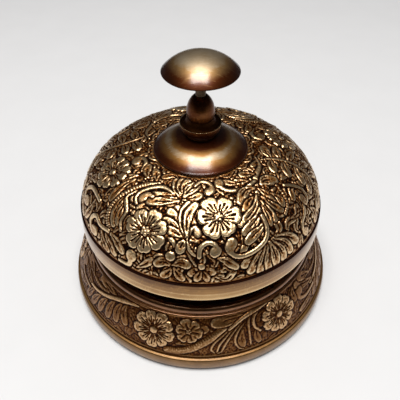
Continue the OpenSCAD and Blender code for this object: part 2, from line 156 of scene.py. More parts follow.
def joinRings(rings, closed):
    # faces between rings of points; a ring may have one point, or half or twice its neighbour's
    starts = np.cumsum([0] + [len(r) for r in rings])
    quads, tris = [], []
    last = len(rings) if closed else len(rings) - 1
    for i in range(last):
        j = (i + 1) % len(rings)
        na, nb, a0, b0 = len(rings[i]), len(rings[j]), starts[i], starts[j]
        if na == nb:
            k = np.arange(na)
            m = (k + 1) % na
            quads.append(np.stack([a0 + k, a0 + m, b0 + m, b0 + k], 1))
        elif nb == 1 or na == 1:
            k = np.arange(max(na, nb))
            m = (k + 1) % len(k)
            tris.append(np.stack(
                [a0 + k, a0 + m, b0 + 0 * k] if nb == 1 else [a0 + 0 * k, b0 + m, b0 + k], 1))
        elif na == 2 * nb:
            k = np.arange(nb)
            m = (k + 1) % nb
            left, mid, right = a0 + 2 * k, a0 + 2 * k + 1, a0 + (2 * k + 2) % na
            tris += [
                np.stack(t, 1) for t in ([left, mid, b0 + k], [mid, right, b0 + m], [mid, b0 + m, b0 + k])]
        else:
            k = np.arange(na)
            m = (k + 1) % na
            left, mid, right = b0 + 2 * k, b0 + 2 * k + 1, b0 + (2 * k + 2) % nb
            tris += [
                np.stack(t, 1) for t in ([a0 + k, mid, left], [a0 + m, right, mid], [a0 + k, a0 + m, mid])]
    faces = [f for q in quads for f in q.tolist()] + [f for t in tris for f in t.tolist()]
    return np.concatenate(rings), faces


def makePiece(name, rings, closed, material, body, replaced, values=None):
    # skin over a stack of rings; values: attribute name -> one array per ring
    points, faces = joinRings(rings, closed)
    mesh = bpy.data.meshes.new(name)
    mesh.from_pydata((points * mm).tolist(), [], faces)
    for key, data in (values or {}).items():
        layer = mesh.attributes.new(key, "FLOAT", "POINT")
        layer.data.foreach_set("value", np.concatenate(data).astype(np.float32))
    mesh.shade_smooth()
    mesh.materials.append(material)
    mesh.update()
    piece = bpy.data.objects.new(name, mesh)
    bpy.context.scene.collection.objects.link(piece)
    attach(piece, body)
    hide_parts(*replaced)
    return piece


def secondFinish(piece, material, chosen):
    # chosen: true for faces that take this material, by the radius and height of their middle in millimetres
    piece.data.materials.append(material)
    count = len(piece.data.polygons)
    middle, index = np.zeros(count * 3), np.zeros(count, np.int32)
    piece.data.polygons.foreach_get("center", middle)
    middle = middle.reshape(-1, 3) / mm
    piece.data.polygons.foreach_get("material_index", index)
    index[chosen(np.hypot(middle[:, 0], middle[:, 1]), middle[:, 2])] = len(piece.data.materials) - 1
    piece.data.polygons.foreach_set("material_index", index)


def places(node):
    # outer radius, foot and top of a turned CAD node, in millimetres
    low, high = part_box(node)
    return high.x / mm, low.z / mm, high.z / mm


def turned(name, outline, material, body, replaced, columns=160, bevel=0.1, closed=True):
    # the outline, in radius and height, carried once round the axis
    rings = [ringPoints(r, z, columns) for r, z in eased(outline, bevel, closed)]
    return makePiece(name, rings, closed, material, body, replaced)


# relief carving

# in millimetres: how soft an edge is, width of a slit and of a vein, length of a bead and of a comb's tooth
carving = {"softness": (-0.14, 0.12), "slit": 0.24, "vein": 0.2, "bead": 0.95, "tooth": 0.85}


class Relief:
    # Height map of an ornamented band: columns round the band, rows up its arc. It is carved for one repeat.
    def __init__(self, radii, arcs, columns, repeat, ground):
        self.radii, self.arcs, self.repeat = radii, arcs, repeat
        self.phi = repeat * np.arange(columns) / columns
        self.map = np.full((len(arcs), columns), ground, float)
        self.ground = ground

    def window(self, points, margin):
        phis, arcs = [p[0] for p in points], [p[1] for p in points]
        rows = np.where((self.arcs > min(arcs) - margin) & (self.arcs < max(arcs) + margin))[0]
        spread = math.degrees(margin / self.radii[rows].min())
        step = self.phi[1]
        cols = np.arange(math.floor((min(phis) - spread) / step), math.ceil((max(phis) + spread) / step) + 1)
        return rows, cols, cols * step

    def lay(self, rows, cols, inside, height, near):
        # sinks a narrow moat round the feature, then sets it in: under (1 - inside) + feature inside
        where = np.ix_(rows, cols % self.map.shape[1])
        under = self.map[where]
        under = under - 0.75 * near * np.maximum(under - self.ground + 0.06, 0)
        self.map[where] = under * (1 - inside) + (self.ground + height) * inside

    def stroke(self, kind, height, width, points):
        # A ridge along a curve. q is the distance from the curve over the half width there, and u runs 0 to 1
        # from its first point to its last.
        # lobe: a leaf with a raised rim, a slit and two veins; curl: a stem with a round end; stem: tapers;
        # bead: height swells once a bead; comb: teeth on one side; ball: one point.
        points = np.array(points, float)
        if len(points) == 1:
            points = np.vstack([points, points + [0.01, 0]])
        # a smooth line through the points: Catmull-Rom, five steps to a span
        padded = np.vstack([2 * points[0] - points[1], points, 2 * points[-1] - points[-2]])
        t = np.linspace(0, 1, 6)[:-1, None]
        p0, p1, p2, p3 = (padded[i : len(padded) - 3 + i, None] for i in range(4))
        line = (
            2 * p1 + (p2 - p0) * t
            + (2 * p0 - 5 * p1 + 4 * p2 - p3) * t**2 + (3 * p1 - p0 - 3 * p2 + p3) * t**3)
        line = np.vstack([0.5 * line.reshape(-1, 2), points[-1]])
        rows, cols, phi = self.window(line, width + 0.8)
        r, s = self.radii[rows, None, None], self.arcs[rows, None, None]
        a, b = np.radians(line[:-1, 0]), np.radians(line[1:, 0])
        px, py = r * (np.radians(phi)[None, :, None] - a), s - line[:-1, 1]
        vx, vy = r * (b - a), line[1:, 1] - line[:-1, 1]
        k = np.clip((px * vx + py * vy) / (vx**2 + vy**2 + 1e-9), 0, 1)
        distance = np.hypot(px - k * vx, py - k * vy)
        side = np.sign(vx * py - vy * px)
        u = (np.arange(len(a)) + k) / len(a)
        if kind == "lobe":
            half = width * (0.34 + 0.66 * np.sin(np.pi * np.clip(u, 0, 1) ** 1.25 * 0.72) ** 1.2)
        elif kind == "curl":
            half = width * (0.46 + 0.1 * u + 0.5 * smooth(u, 0.74, 0.92))
        elif kind == "stem":
            half = width * (1 - 0.45 * u) * (0.3 + 0.7 * smooth(u, 0, 0.35))
        else:
            half = width * np.ones_like(u)
        q = distance / half
        best = q.argmin(2)[..., None]
        q, u, half, side, distance = (
            np.take_along_axis(v, best, 2)[..., 0] for v in (q, u, half, side, distance))
        length = np.hypot(*(np.diff(line, axis=0) * [math.radians(1) * self.radii[rows].mean(), 1]).T).sum()
        over = (q - 1) * half  # millimetres outside the edge
        inside = 1 - smooth(over, *carving["softness"])
        near = 1 - smooth(over, 0.1, 0.5)
        domed = np.sqrt(np.clip(1 - np.minimum(q, 1) ** 2, 0, 1))
        flat = 0.3 + 0.7 * smooth(-over, -0.1, 0.28)
        if kind == "lobe":
            rim = 0.88 + 0.12 * smooth(q, 0.3, 0.7)
            slit = (
                np.exp(-((distance / carving["slit"]) ** 2))
                * smooth(u, 0.12, 0.26) * (1 - smooth(u, 0.7, 0.84)))
            veins = np.exp(-(((q - 0.55) * half / carving["vein"]) ** 2)) * smooth(half, 1.1, 1.5)
            veins = veins * smooth(u, 0.3, 0.42) * (1 - smooth(u, 0.6, 0.74))
            shape = height * (rim * flat * (0.82 + 0.18 * u) - 0.75 * slit - 0.6 * veins)
        elif kind == "bead":
            swell = np.cos(2 * np.pi * u * round(length / carving["bead"]))
            shape = height * (0.35 + 0.65 * domed) * (0.72 + 0.28 * swell)
        elif kind == "comb":
            teeth = 0.5 + 0.5 * np.cos(2 * np.pi * u * round(length / carving["tooth"]))
            shape = height * (0.55 + 0.45 * domed - 0.4 * teeth * smooth(side * q, 0.1, 0.6))
        else:
            shape = height * (0.6 * flat + 0.4 * domed)
        self.lay(rows, cols, inside, shape, near)

    def flower(self, height, radius, petals, slits, turn, centre):
        # Petals round a centre: the outline falls by 0.2 |psi| to the power 3.2 across a petal, grooves run
        # between the petals and slits along them, and seeds are small half balls.
        rows, cols, phi = self.window([centre], radius + 0.9)
        x = self.radii[rows, None] * np.radians(phi[None, :] - centre[0])
        y = self.arcs[rows, None] - centre[1]
        rho, theta = np.hypot(x, y), np.arctan2(y, x) + math.radians(turn)
        part = theta * petals / (2 * np.pi)
        psi = 2 * (part - np.round(part))  # -1 to 1 across a petal
        wobble = 1 + 0.05 * np.sin(3.1 * np.round(part) + 0.7)
        edge = radius * wobble * (1 - 0.2 * np.abs(psi) ** 3.2 - 0.035 * np.exp(-((psi / 0.16) ** 2)))
        over = rho - edge
        inside, near = 1 - smooth(over, *carving["softness"]), 1 - smooth(over, 0.1, 0.55)
        along = rho / edge
        across = np.pi / petals * rho  # half width of a petal here, in millimetres
        shape = (0.9 + 0.1 * smooth(along, 0.3, 0.75)) * (0.3 + 0.7 * smooth(-over, -0.1, 0.28))
        shape -= (
            0.5 * np.exp(-(((1 - np.abs(psi)) * across / carving["vein"]) ** 2)) * smooth(along, 0.5, 0.62))
        for place in np.linspace(-0.56, 0.56, slits) if slits > 1 else [0]:
            gap = np.exp(-(((psi - place) * across / carving["slit"]) ** 2))
            reach = 0.8 - 0.2 * abs(place) + 0.05 * np.sin(5.3 * np.round(part) + 9 * place)
            shape -= 0.85 * gap * smooth(along, 0.24, 0.3) * (1 - smooth(along, reach - 0.08, reach))
        button = 0.2 * radius
        shape = np.where(rho < 1.3 * button, 0.25, shape)
        seeds = [(0, 0)] + [
            (button * 0.72 * math.cos(a), button * 0.72 * math.sin(a)) for a in np.arange(5) * 1.2566]
        for sx, sy in seeds if petals < 9 else [(0, 0)]:
            size = (0.42 if petals < 9 else 0.95) * button
            ball = 1 - ((x - sx) ** 2 + (y - sy) ** 2) / size**2
            shape = np.where(ball > 0, 0.45 + 0.6 * np.sqrt(np.clip(ball, 0, 1)), shape)
        self.lay(rows, cols, inside, height * shape, near)

    def fill(self, random, step, height, width):
        # small curved leaves on a jittered grid, leaning along a slow swirl, so that no ground is left bare
        for row, s in enumerate(np.arange(0.9, self.arcs[-1], step * 0.8)):
            count = max(3, round(math.radians(self.repeat) * np.interp(s, self.arcs, self.radii) / step))
            for k in range(count):
                phi = self.repeat * (k + 0.5 * (row % 2) + random.uniform(-0.25, 0.25)) / count
                lean = (
                    1.7 * math.sin(math.radians(phi * 360 / self.repeat * 2) + 0.35 * s)
                    + random.uniform(-0.7, 0.7))
                bend = random.choice([-0.6, 0.6])
                length = step * random.uniform(0.6, 0.85)
                reach = math.degrees(1 / np.interp(s, self.arcs, self.radii))
                ways = [(end * length, lean + end * bend) for end in (-1, 0, 1)]
                points = [
                    (phi + far * math.sin(turn) * reach, s + far * math.cos(turn)) for far, turn in ways]
                self.stroke(
                    "lobe", height * random.uniform(0.75, 1.1), width * random.uniform(0.8, 1.15), points)

    def carve(self, motifs, look):
        random = np.random.default_rng(look["seed"])
        self.fill(random, look["fillStep"], look["fillHeight"], look["fillWidth"])
        for motif in motifs:
            if motif[0] == "flower":
                self.flower(*motif[1:])
            else:
                kind, height, width, *curves = motif
                for points in curves:
                    self.stroke(kind, height, width * look["fullness"][kind == "lobe"], points)
        # matted ground: small random punch marks, stronger where nothing is raised
        mat = random.normal(size=self.map.shape)
        mat = (mat + np.roll(mat, 1, 1) + np.roll(mat, 1, 0)) / 1.7
        low = 1 - smooth(self.map - self.ground, 0.05, 0.4)
        self.map = self.map + look["stipple"] * mat * (0.25 + 0.75 * low)
        border = (
            smooth(self.arcs, 0.1, 0.7) * (1 - smooth(self.arcs, self.arcs[-1] - 0.7, self.arcs[-1] - 0.1)))
        self.map = (
            self.ground + (self.map - self.ground) * border[:, None] - self.ground * (1 - border[:, None]))
        # hollows: height over the mean around it, its crests eased, plus the sharp edges of what is raised,
        # made lighter as rubbed metal and as painted highlight
        self.cavity = self.map - blur(self.map, 13)
        self.cavity = np.where(self.cavity > 0, look["crest"] * self.cavity, self.cavity)
        sharp = np.maximum(self.map - blur(self.map, 3), 0)
        self.cavity = self.cavity + look["edge"] * smooth(self.map, 0.05, 0.35) * sharp


def blur(field, passes):
    # mean of neighbours, round the band and up it, once per pass
    for _ in range(passes):
        field = 0.5 * field + 0.25 * (np.roll(field, 1, 1) + np.roll(field, -1, 1))
        tall = np.pad(field, ((1, 1), (0, 0)), mode="edge")
        field = 0.5 * field + 0.25 * (tall[:-2] + tall[2:])
    return field


def reliefRings(curve, repeat, motifs, look):
    # curve: dense (radius, height) points going up. Rings lie every spacing millimetres, each point moved
    # along the curve's normal by the carved height. Past thinAbove every other column is dropped, as the rings
    # are small there.
    curve, columns, spacing = np.array(curve), look["columns"], look["spacing"]
    run = np.concatenate([[0], np.cumsum(np.hypot(*np.diff(curve, axis=0).T))])
    arcs = np.linspace(0, run[-1], int(run[-1] / spacing) + 1)
    r, z = np.interp(arcs, run, curve[:, 0]), np.interp(arcs, run, curve[:, 1])
    tr, tz = np.gradient(r), np.gradient(z)
    size = np.hypot(tr, tz)
    nr, nz = tz / size, -tr / size
    relief = Relief(r, arcs, columns // repeat, 360 / repeat, look["ground"])
    relief.carve(motifs, look)
    height, cavity = np.tile(relief.map, (1, repeat)), np.tile(relief.cavity, (1, repeat))
    rings, tones, hollows = [], [], []
    for i in range(len(arcs)):
        skip = 2 if arcs[i] > look["thinAbove"] else 1
        h = height[i, ::skip]
        rings.append(ringPoints(r[i] + nr[i] * h, z[i] + nz[i] * h, columns // skip))
        tones.append(h)
        hollows.append(cavity[i, ::skip])
    return rings, tones, hollows


# materials

# A tone from 0, blackened, to 1, rubbed bright, picks the colour and runs the roughness from dullness to
# shine. Noise scales are per metre: 1000 / scale is the size of one grain, cloud or ring in millimetres.


def castBrass(name, look):
    # Sand-cast brass, blackened in a sulphur bath and rubbed back by hand: the dark stays in the hollows and
    # on the ground, and the raised leaves and petals shine pale gold. Their sharp edges are lighter still,
    # partly rubbed and partly painted highlight.
    made, tree = newMaterial(name)
    where = add(tree, "TexCoord")
    high = add(tree, "Attribute", attribute_name="relief")
    hollow = add(tree, "Attribute", attribute_name="hollow")
    # sand grain 0.7 mm, drawn coarse so that it shows; clouds of wear 14 mm
    grain = add(tree, "TexNoise", {"Vector": (where, "Object"), "Scale": 1500, "Detail": 3, "Roughness": 0.7})
    cloud = add(tree, "TexNoise", {"Vector": (where, "Object"), "Scale": 70, "Detail": 4, "Roughness": 0.6})
    # tone = level + height * heightGain + hollow * hollowGain + grain + cloud
    tone = look["level"]
    for source, gain in ((high, "heightGain"), (hollow, "hollowGain"), (grain, "grain"), (cloud, "cloud")):
        terms = {0: (source, "Fac"), 1: look[gain], 2: tone}
        tone = (add(tree, "Math", terms, operation="MULTIPLY_ADD", use_clamp=source is cloud), 0)
    colour = add(tree, "ValToRGB", {0: tone}, look["colours"])
    gloss = add(tree, "ValToRGB", {0: tone}, [(0, look["dullness"]), (1, look["shine"])])
    metal = add(tree, "ValToRGB", {0: tone}, [(0, 0.3), (0.4, 1.0)])  # the black skin is oxide, not metal
    wax = add(tree, "ValToRGB", {0: tone}, [(0.55, 0.0), (1.0, look["wax"])])
    bump = add(tree, "Bump", {"Strength": 0.5, "Distance": 0.00015, "Height": (grain, "Fac")})
    shader = add(tree, "BsdfPrincipled", {
        "Base Color": (colour, 0), "Roughness": (gloss, 0), "Metallic": (metal, 0), "Normal": (bump, 0),
        "Specular IOR Level": 0.08, "Coat Weight": (wax, 0), "Coat Roughness": 0.3, "Coat IOR": 1.6})
    add(tree, "OutputMaterial", {"Surface": (shader, 0)})
    return made


def turnedBrass(name, look):
    # Brass turned on a lathe and waxed: fine rings left by the tool, brown tarnish in clouds, and a few
    # scratches from handling.
    made, tree = newMaterial(name)
    where = add(tree, "TexCoord")
    cloud = add(tree, "TexNoise", {
        "Vector": (where, "Object"), "Scale": look["cloudScale"], "Detail": 5, "Roughness": 0.65})
    stretched = add(tree, "Mapping", {"Vector": (where, "Object"), "Scale": look["ringScale"]})
    rings = add(tree, "TexNoise", {"Vector": (stretched, 0), "Scale": 1, "Detail": 2, "Roughness": 0.6})
    split = add(tree, "SeparateXYZ", {0: (where, "Object")})
    flat = add(tree, "CombineXYZ", {"X": (split, "X"), "Y": (split, "Y")})
    radius = add(tree, "VectorMath", {0: (flat, 0)}, operation="LENGTH")
    # dark and paintedLight: how far the tone falls, or rises, from the first radius to the second, in metres;
    # on the button and the collar the fall is painted shade, and paintedLight paints shade or a highlight by
    # radius
    dark, paintedLight = (
        add(tree, "MapRange", {
            "Value": (radius, "Value"), "From Min": look[key][0], "From Max": look[key][1],
            "To Min": 0, "To Max": look[key][2]}, interpolation_type="SMOOTHSTEP")
        for key in ("dark", "paintedLight"))
    # scratches lie aslant, 4 mm long and 0.25 mm wide, drawn coarse so that they show
    tilted = add(tree, "Mapping", {
        "Vector": (where, "Object"), "Rotation": (0.3, 0.2, 0.7), "Scale": (260, 4200, 900)})
    scratch = add(tree, "TexNoise", {"Vector": (tilted, 0), "Scale": 1, "Detail": 1, "Distortion": 0.4})
    marks = add(tree, "ValToRGB", {0: (scratch, "Fac")}, [(0.62, 0.0), (0.7, 1.0)])
    # tone = level + cloud + streak - dark + paintedLight + scratches
    tone = look["level"]
    for source, gain in (
            (cloud, look["cloud"]), (rings, look["streak"]), (dark, -1), (paintedLight, 1), (marks, look["scratch"])):
        output = "Fac" if source in (cloud, rings) else 0
        terms = {0: (source, output), 1: gain, 2: tone}
        tone = (add(tree, "Math", terms, operation="MULTIPLY_ADD", use_clamp=source is marks), 0)
    colour = add(tree, "ValToRGB", {0: tone}, look["colours"])
    gloss = add(tree, "ValToRGB", {0: tone}, [(0, look["dullness"]), (1, look["shine"])])
    bump = add(tree, "Bump", {"Strength": look["ringDepth"], "Distance": 0.00003, "Height": (rings, "Fac")})
    shader = add(tree, "BsdfPrincipled", {
        "Base Color": (colour, 0), "Roughness": (gloss, 0), "Metallic": 1.0, "Normal": (bump, 0),
        "Coat Weight": look["wax"], "Coat Roughness": look["waxBlur"], "Coat IOR": 1.52})
    add(tree, "OutputMaterial", {"Surface": (shader, 0)})
    return made


def plainMetal(name, colours, shine, grainScale=900, depth=0.12):
    # colours: dull and bright; a light brushed grain, 1 to 2 mm, breaks up the shine
    made, tree = newMaterial(name)
    where = add(tree, "TexCoord")
    grain = add(tree, "TexNoise", {
        "Vector": (where, "Object"), "Scale": grainScale, "Detail": 3, "Roughness": 0.6})
    colour = add(tree, "ValToRGB", {0: (grain, "Fac")}, [(0.3, colours[0]), (0.7, colours[1])])
    gloss = add(tree, "ValToRGB", {0: (grain, "Fac")}, [(0.2, shine + 0.15), (0.8, shine)])
    bump = add(tree, "Bump", {"Strength": depth, "Distance": 0.00005, "Height": (grain, "Fac")})
    shader = add(tree, "BsdfPrincipled", {
        "Base Color": (colour, 0), "Roughness": (gloss, 0), "Metallic": 1.0, "Normal": (bump, 0)})
    add(tree, "OutputMaterial", {"Surface": (shader, 0)})
    return made


def matt(name, colours, scale, rough, depth):
    # pressed fibre or felt: no metal in it, a mat of short hairs, 0.5 to 0.7 mm, that scatters light
    made, tree = newMaterial(name)
    where = add(tree, "TexCoord")
    hairs = add(tree, "TexNoise", {
        "Vector": (where, "Object"), "Scale": scale, "Detail": 6, "Roughness": 0.75})
    colour = add(tree, "ValToRGB", {0: (hairs, "Fac")}, [(0.3, colours[0]), (0.7, colours[1])])
    bump = add(tree, "Bump", {"Strength": depth, "Distance": 0.0003, "Height": (hairs, "Fac")})
    shader = add(tree, "BsdfPrincipled", {
        "Base Color": (colour, 0), "Roughness": rough, "Normal": (bump, 0),
        "Sheen Weight": 0.2, "Specular IOR Level": 0.3})
    add(tree, "OutputMaterial", {"Surface": (shader, 0)})
    return made


bellLook = {
    "level": 0.06, "heightGain": 0.3, "hollowGain": 3.6, "grain": 0.6, "cloud": 0.42,
    "dullness": 0.75, "shine": 0.36, "wax": 0.9,
    "colours": [(0.0, "#0e0300"), (0.26, "#2a0c00"), (0.46, "#5f2c0a"), (0.7, "#a5743e"), (1.0, "#f0cf9d")],
}
baseLook = {
    "level": 0.17, "heightGain": 0.16, "hollowGain": 3.1, "grain": 0.5, "cloud": 0.35,
    "dullness": 0.5, "shine": 0.33, "wax": 0.3,
    "colours": [(0.0, "#190500"), (0.28, "#42200a"), (0.5, "#643b19"), (0.75, "#8d6438"), (1.0, "#d2aa7b")],
}
even = (0.0, 1.0, 0.0)  # no change of tone with the radius
polishLook = {
    "level": 0.4, "cloud": 0.5, "streak": 0.16,
    "cloudScale": 110, "ringScale": (40, 40, 40), "ringDepth": 0.05,
    # painted shade: the tone falls by 0.56 from 6 mm to 12.8 mm from the axis, darkening the button's sides
    "dark": (0.006, 0.0128, 0.56), "paintedLight": even, "scratch": 0.08,
    "wax": 1.0, "waxBlur": 0.19, "dullness": 0.54, "shine": 0.46,
    "colours": [(0.0, "#1f0700"), (0.28, "#552709"), (0.58, "#a58152"), (1.0, "#f6e9cc")],
}
# painted shade: from 11.5 mm the tone falls out towards the edge and in towards the cup, leaving a lighter
# painted ring where the highlight falls
collarLook = dict(
    polishLook, level=0.39, dark=(0.0115, 0.0167, 0.56), paintedLight=(0.0115, 0.0075, -0.5),
    dullness=0.55, shine=0.47,
    colours=[(0.0, "#1f0700"), (0.3, "#552608"), (0.62, "#a0733b"), (1.0, "#f8edd2")])
rimLook = {
    "level": 0.02, "cloud": 0.7, "streak": 0.6,
    "cloudScale": 45, "ringScale": (12, 12, 2600), "ringDepth": 0.7,
    "dark": (0.04625, 0.0458, 0.4), "paintedLight": even, "scratch": 0.1,
    "wax": 0.65, "waxBlur": 0.14, "dullness": 0.36, "shine": 0.24,
    "colours": [(0.0, "#2a1405"), (0.3, "#64401a"), (0.6, "#9b713a"), (1.0, "#e4c189")],
}
darkLook = {
    "level": 0.02, "cloud": 0.5, "streak": 0.16,
    "cloudScale": 160, "ringScale": (60, 60, 5000), "ringDepth": 0.2,
    # painted highlight: the tone rises by 0.5 past 7.2 mm from the axis, the radius of the cup's lip
    "dark": even, "paintedLight": (0.00716, 0.0072, 0.5), "scratch": 0.1,
    "wax": 0.08, "waxBlur": 0.14, "dullness": 0.36, "shine": 0.26,
    "colours": [(0.0, "#220c04"), (0.3, "#4e260d"), (0.7, "#96663a"), (1.0, "#dfbd8c")],
}
# full tone all over: a painted highlight, standing for the pale table top mirrored in a thin edge
paintedHighlightLook = dict(rimLook, level=1.0, dark=even, dullness=0.3)
cupLook = dict(darkLook, level=0.0, paintedLight=even, dullness=0.45, shine=0.3)
cupInsideLook = dict(darkLook, level=0.06, paintedLight=even, wax=0.0, dullness=0.55, shine=0.5)
ringLook = dict(darkLook, level=0.2, paintedLight=even, wax=0.8, waxBlur=0.2)
lipLook = dict(
    darkLook, level=0.24, paintedLight=even, wax=0.45, waxBlur=0.24, dullness=0.5, shine=0.44,
    colours=[(0.0, "#241106"), (0.3, "#4f3213"), (0.7, "#946e40"), (1.0, "#dfc191")])

bellMaterial = castBrass("antiqued_cast_brass_rubbed_back", bellLook)
baseMaterial = castBrass("antiqued_cast_brass_dark_wax", baseLook)
rimMaterial = turnedBrass("turned_brass_band", rimLook)
paintedHighlightMaterial = turnedBrass("turned_brass_painted_highlight_edge", paintedHighlightLook)
buttonMaterial = turnedBrass("hand_polished_brass_painted_shade_edge", polishLook)
collarMaterial = turnedBrass("spun_brass_collar_waxed", collarLook)
darkMaterial = turnedBrass("turned_brass_darkened", darkLook)
cupMaterial = turnedBrass("turned_brass_darkened_cup", cupLook)
ringMaterial = turnedBrass("turned_brass_darkened_ring", ringLook)
lipMaterial = turnedBrass("turned_brass_foot_lip", lipLook)
cupInsideMaterial = turnedBrass("turned_brass_left_dull", cupInsideLook)
steelMaterial = plainMetal("turned_steel_oiled", ("#261d16", "#5a4a39"), 0.36)
platedMaterial = plainMetal("zinc_plated_steel", ("#8d8f8e", "#b9bcbb"), 0.33, 600)
springMaterial = plainMetal("blued_spring_steel", ("#2f3134", "#6c6f73"), 0.3)
plainBrassMaterial = plainMetal("unplated_mill_brass", ("#8a6a35", "#c9a25c"), 0.3, 700)
fibreMaterial = matt("vulcanised_fibre_washer", ("#3d1f12", "#6e3b22"), 1400, 0.6, 0.2)
feltMaterial = matt("wool_felt_green", ("#14241b", "#2d4636"), 2200, 0.95, 0.8)
print("materials ready")

# bell

bellShape = {
    "columns": 960, "spacing": 0.315, "thinAbove": 20.0,
    "crest": 0.55, "edge": 0.7,  # how much more the crests are rubbed, and how much lighter the ornament's sharp edges are, rubbed and painted highlight
    "ground": -0.3, "stipple": 0.11, "seed": 5,
    "fillStep": 4.4, "fillHeight": 0.5, "fillWidth": 1.3,
    "fullness": (1.3, 1.65),  # strokes, leaves
    "wall": 2.2, "bore": 3.1, "seat": 16.2,  # seat: last ring under the collar
    "inset": 0.7, "sink": 3.2, "rise": 0.65,  # the dome's curve, from the rim's edge and from the crown
    "sidePower": 0.6, "risePower": 0.95,
    "ornamentFrom": 8.0,
    # the plain band and its groove, out and up from the rim's edge
    "band": [
        (-2.7, 0), (-0.3, 0), (0, 0.3), (-0.03, 0.75), (-0.2, 3.6),
        (-0.45, 7.2), (-1.05, 7.35), (-1.05, 7.75)],
    "bandTop": 7.1, "paintedHighlightWidth": 0.8, "paintedHighlightHeight": 0.7,
}

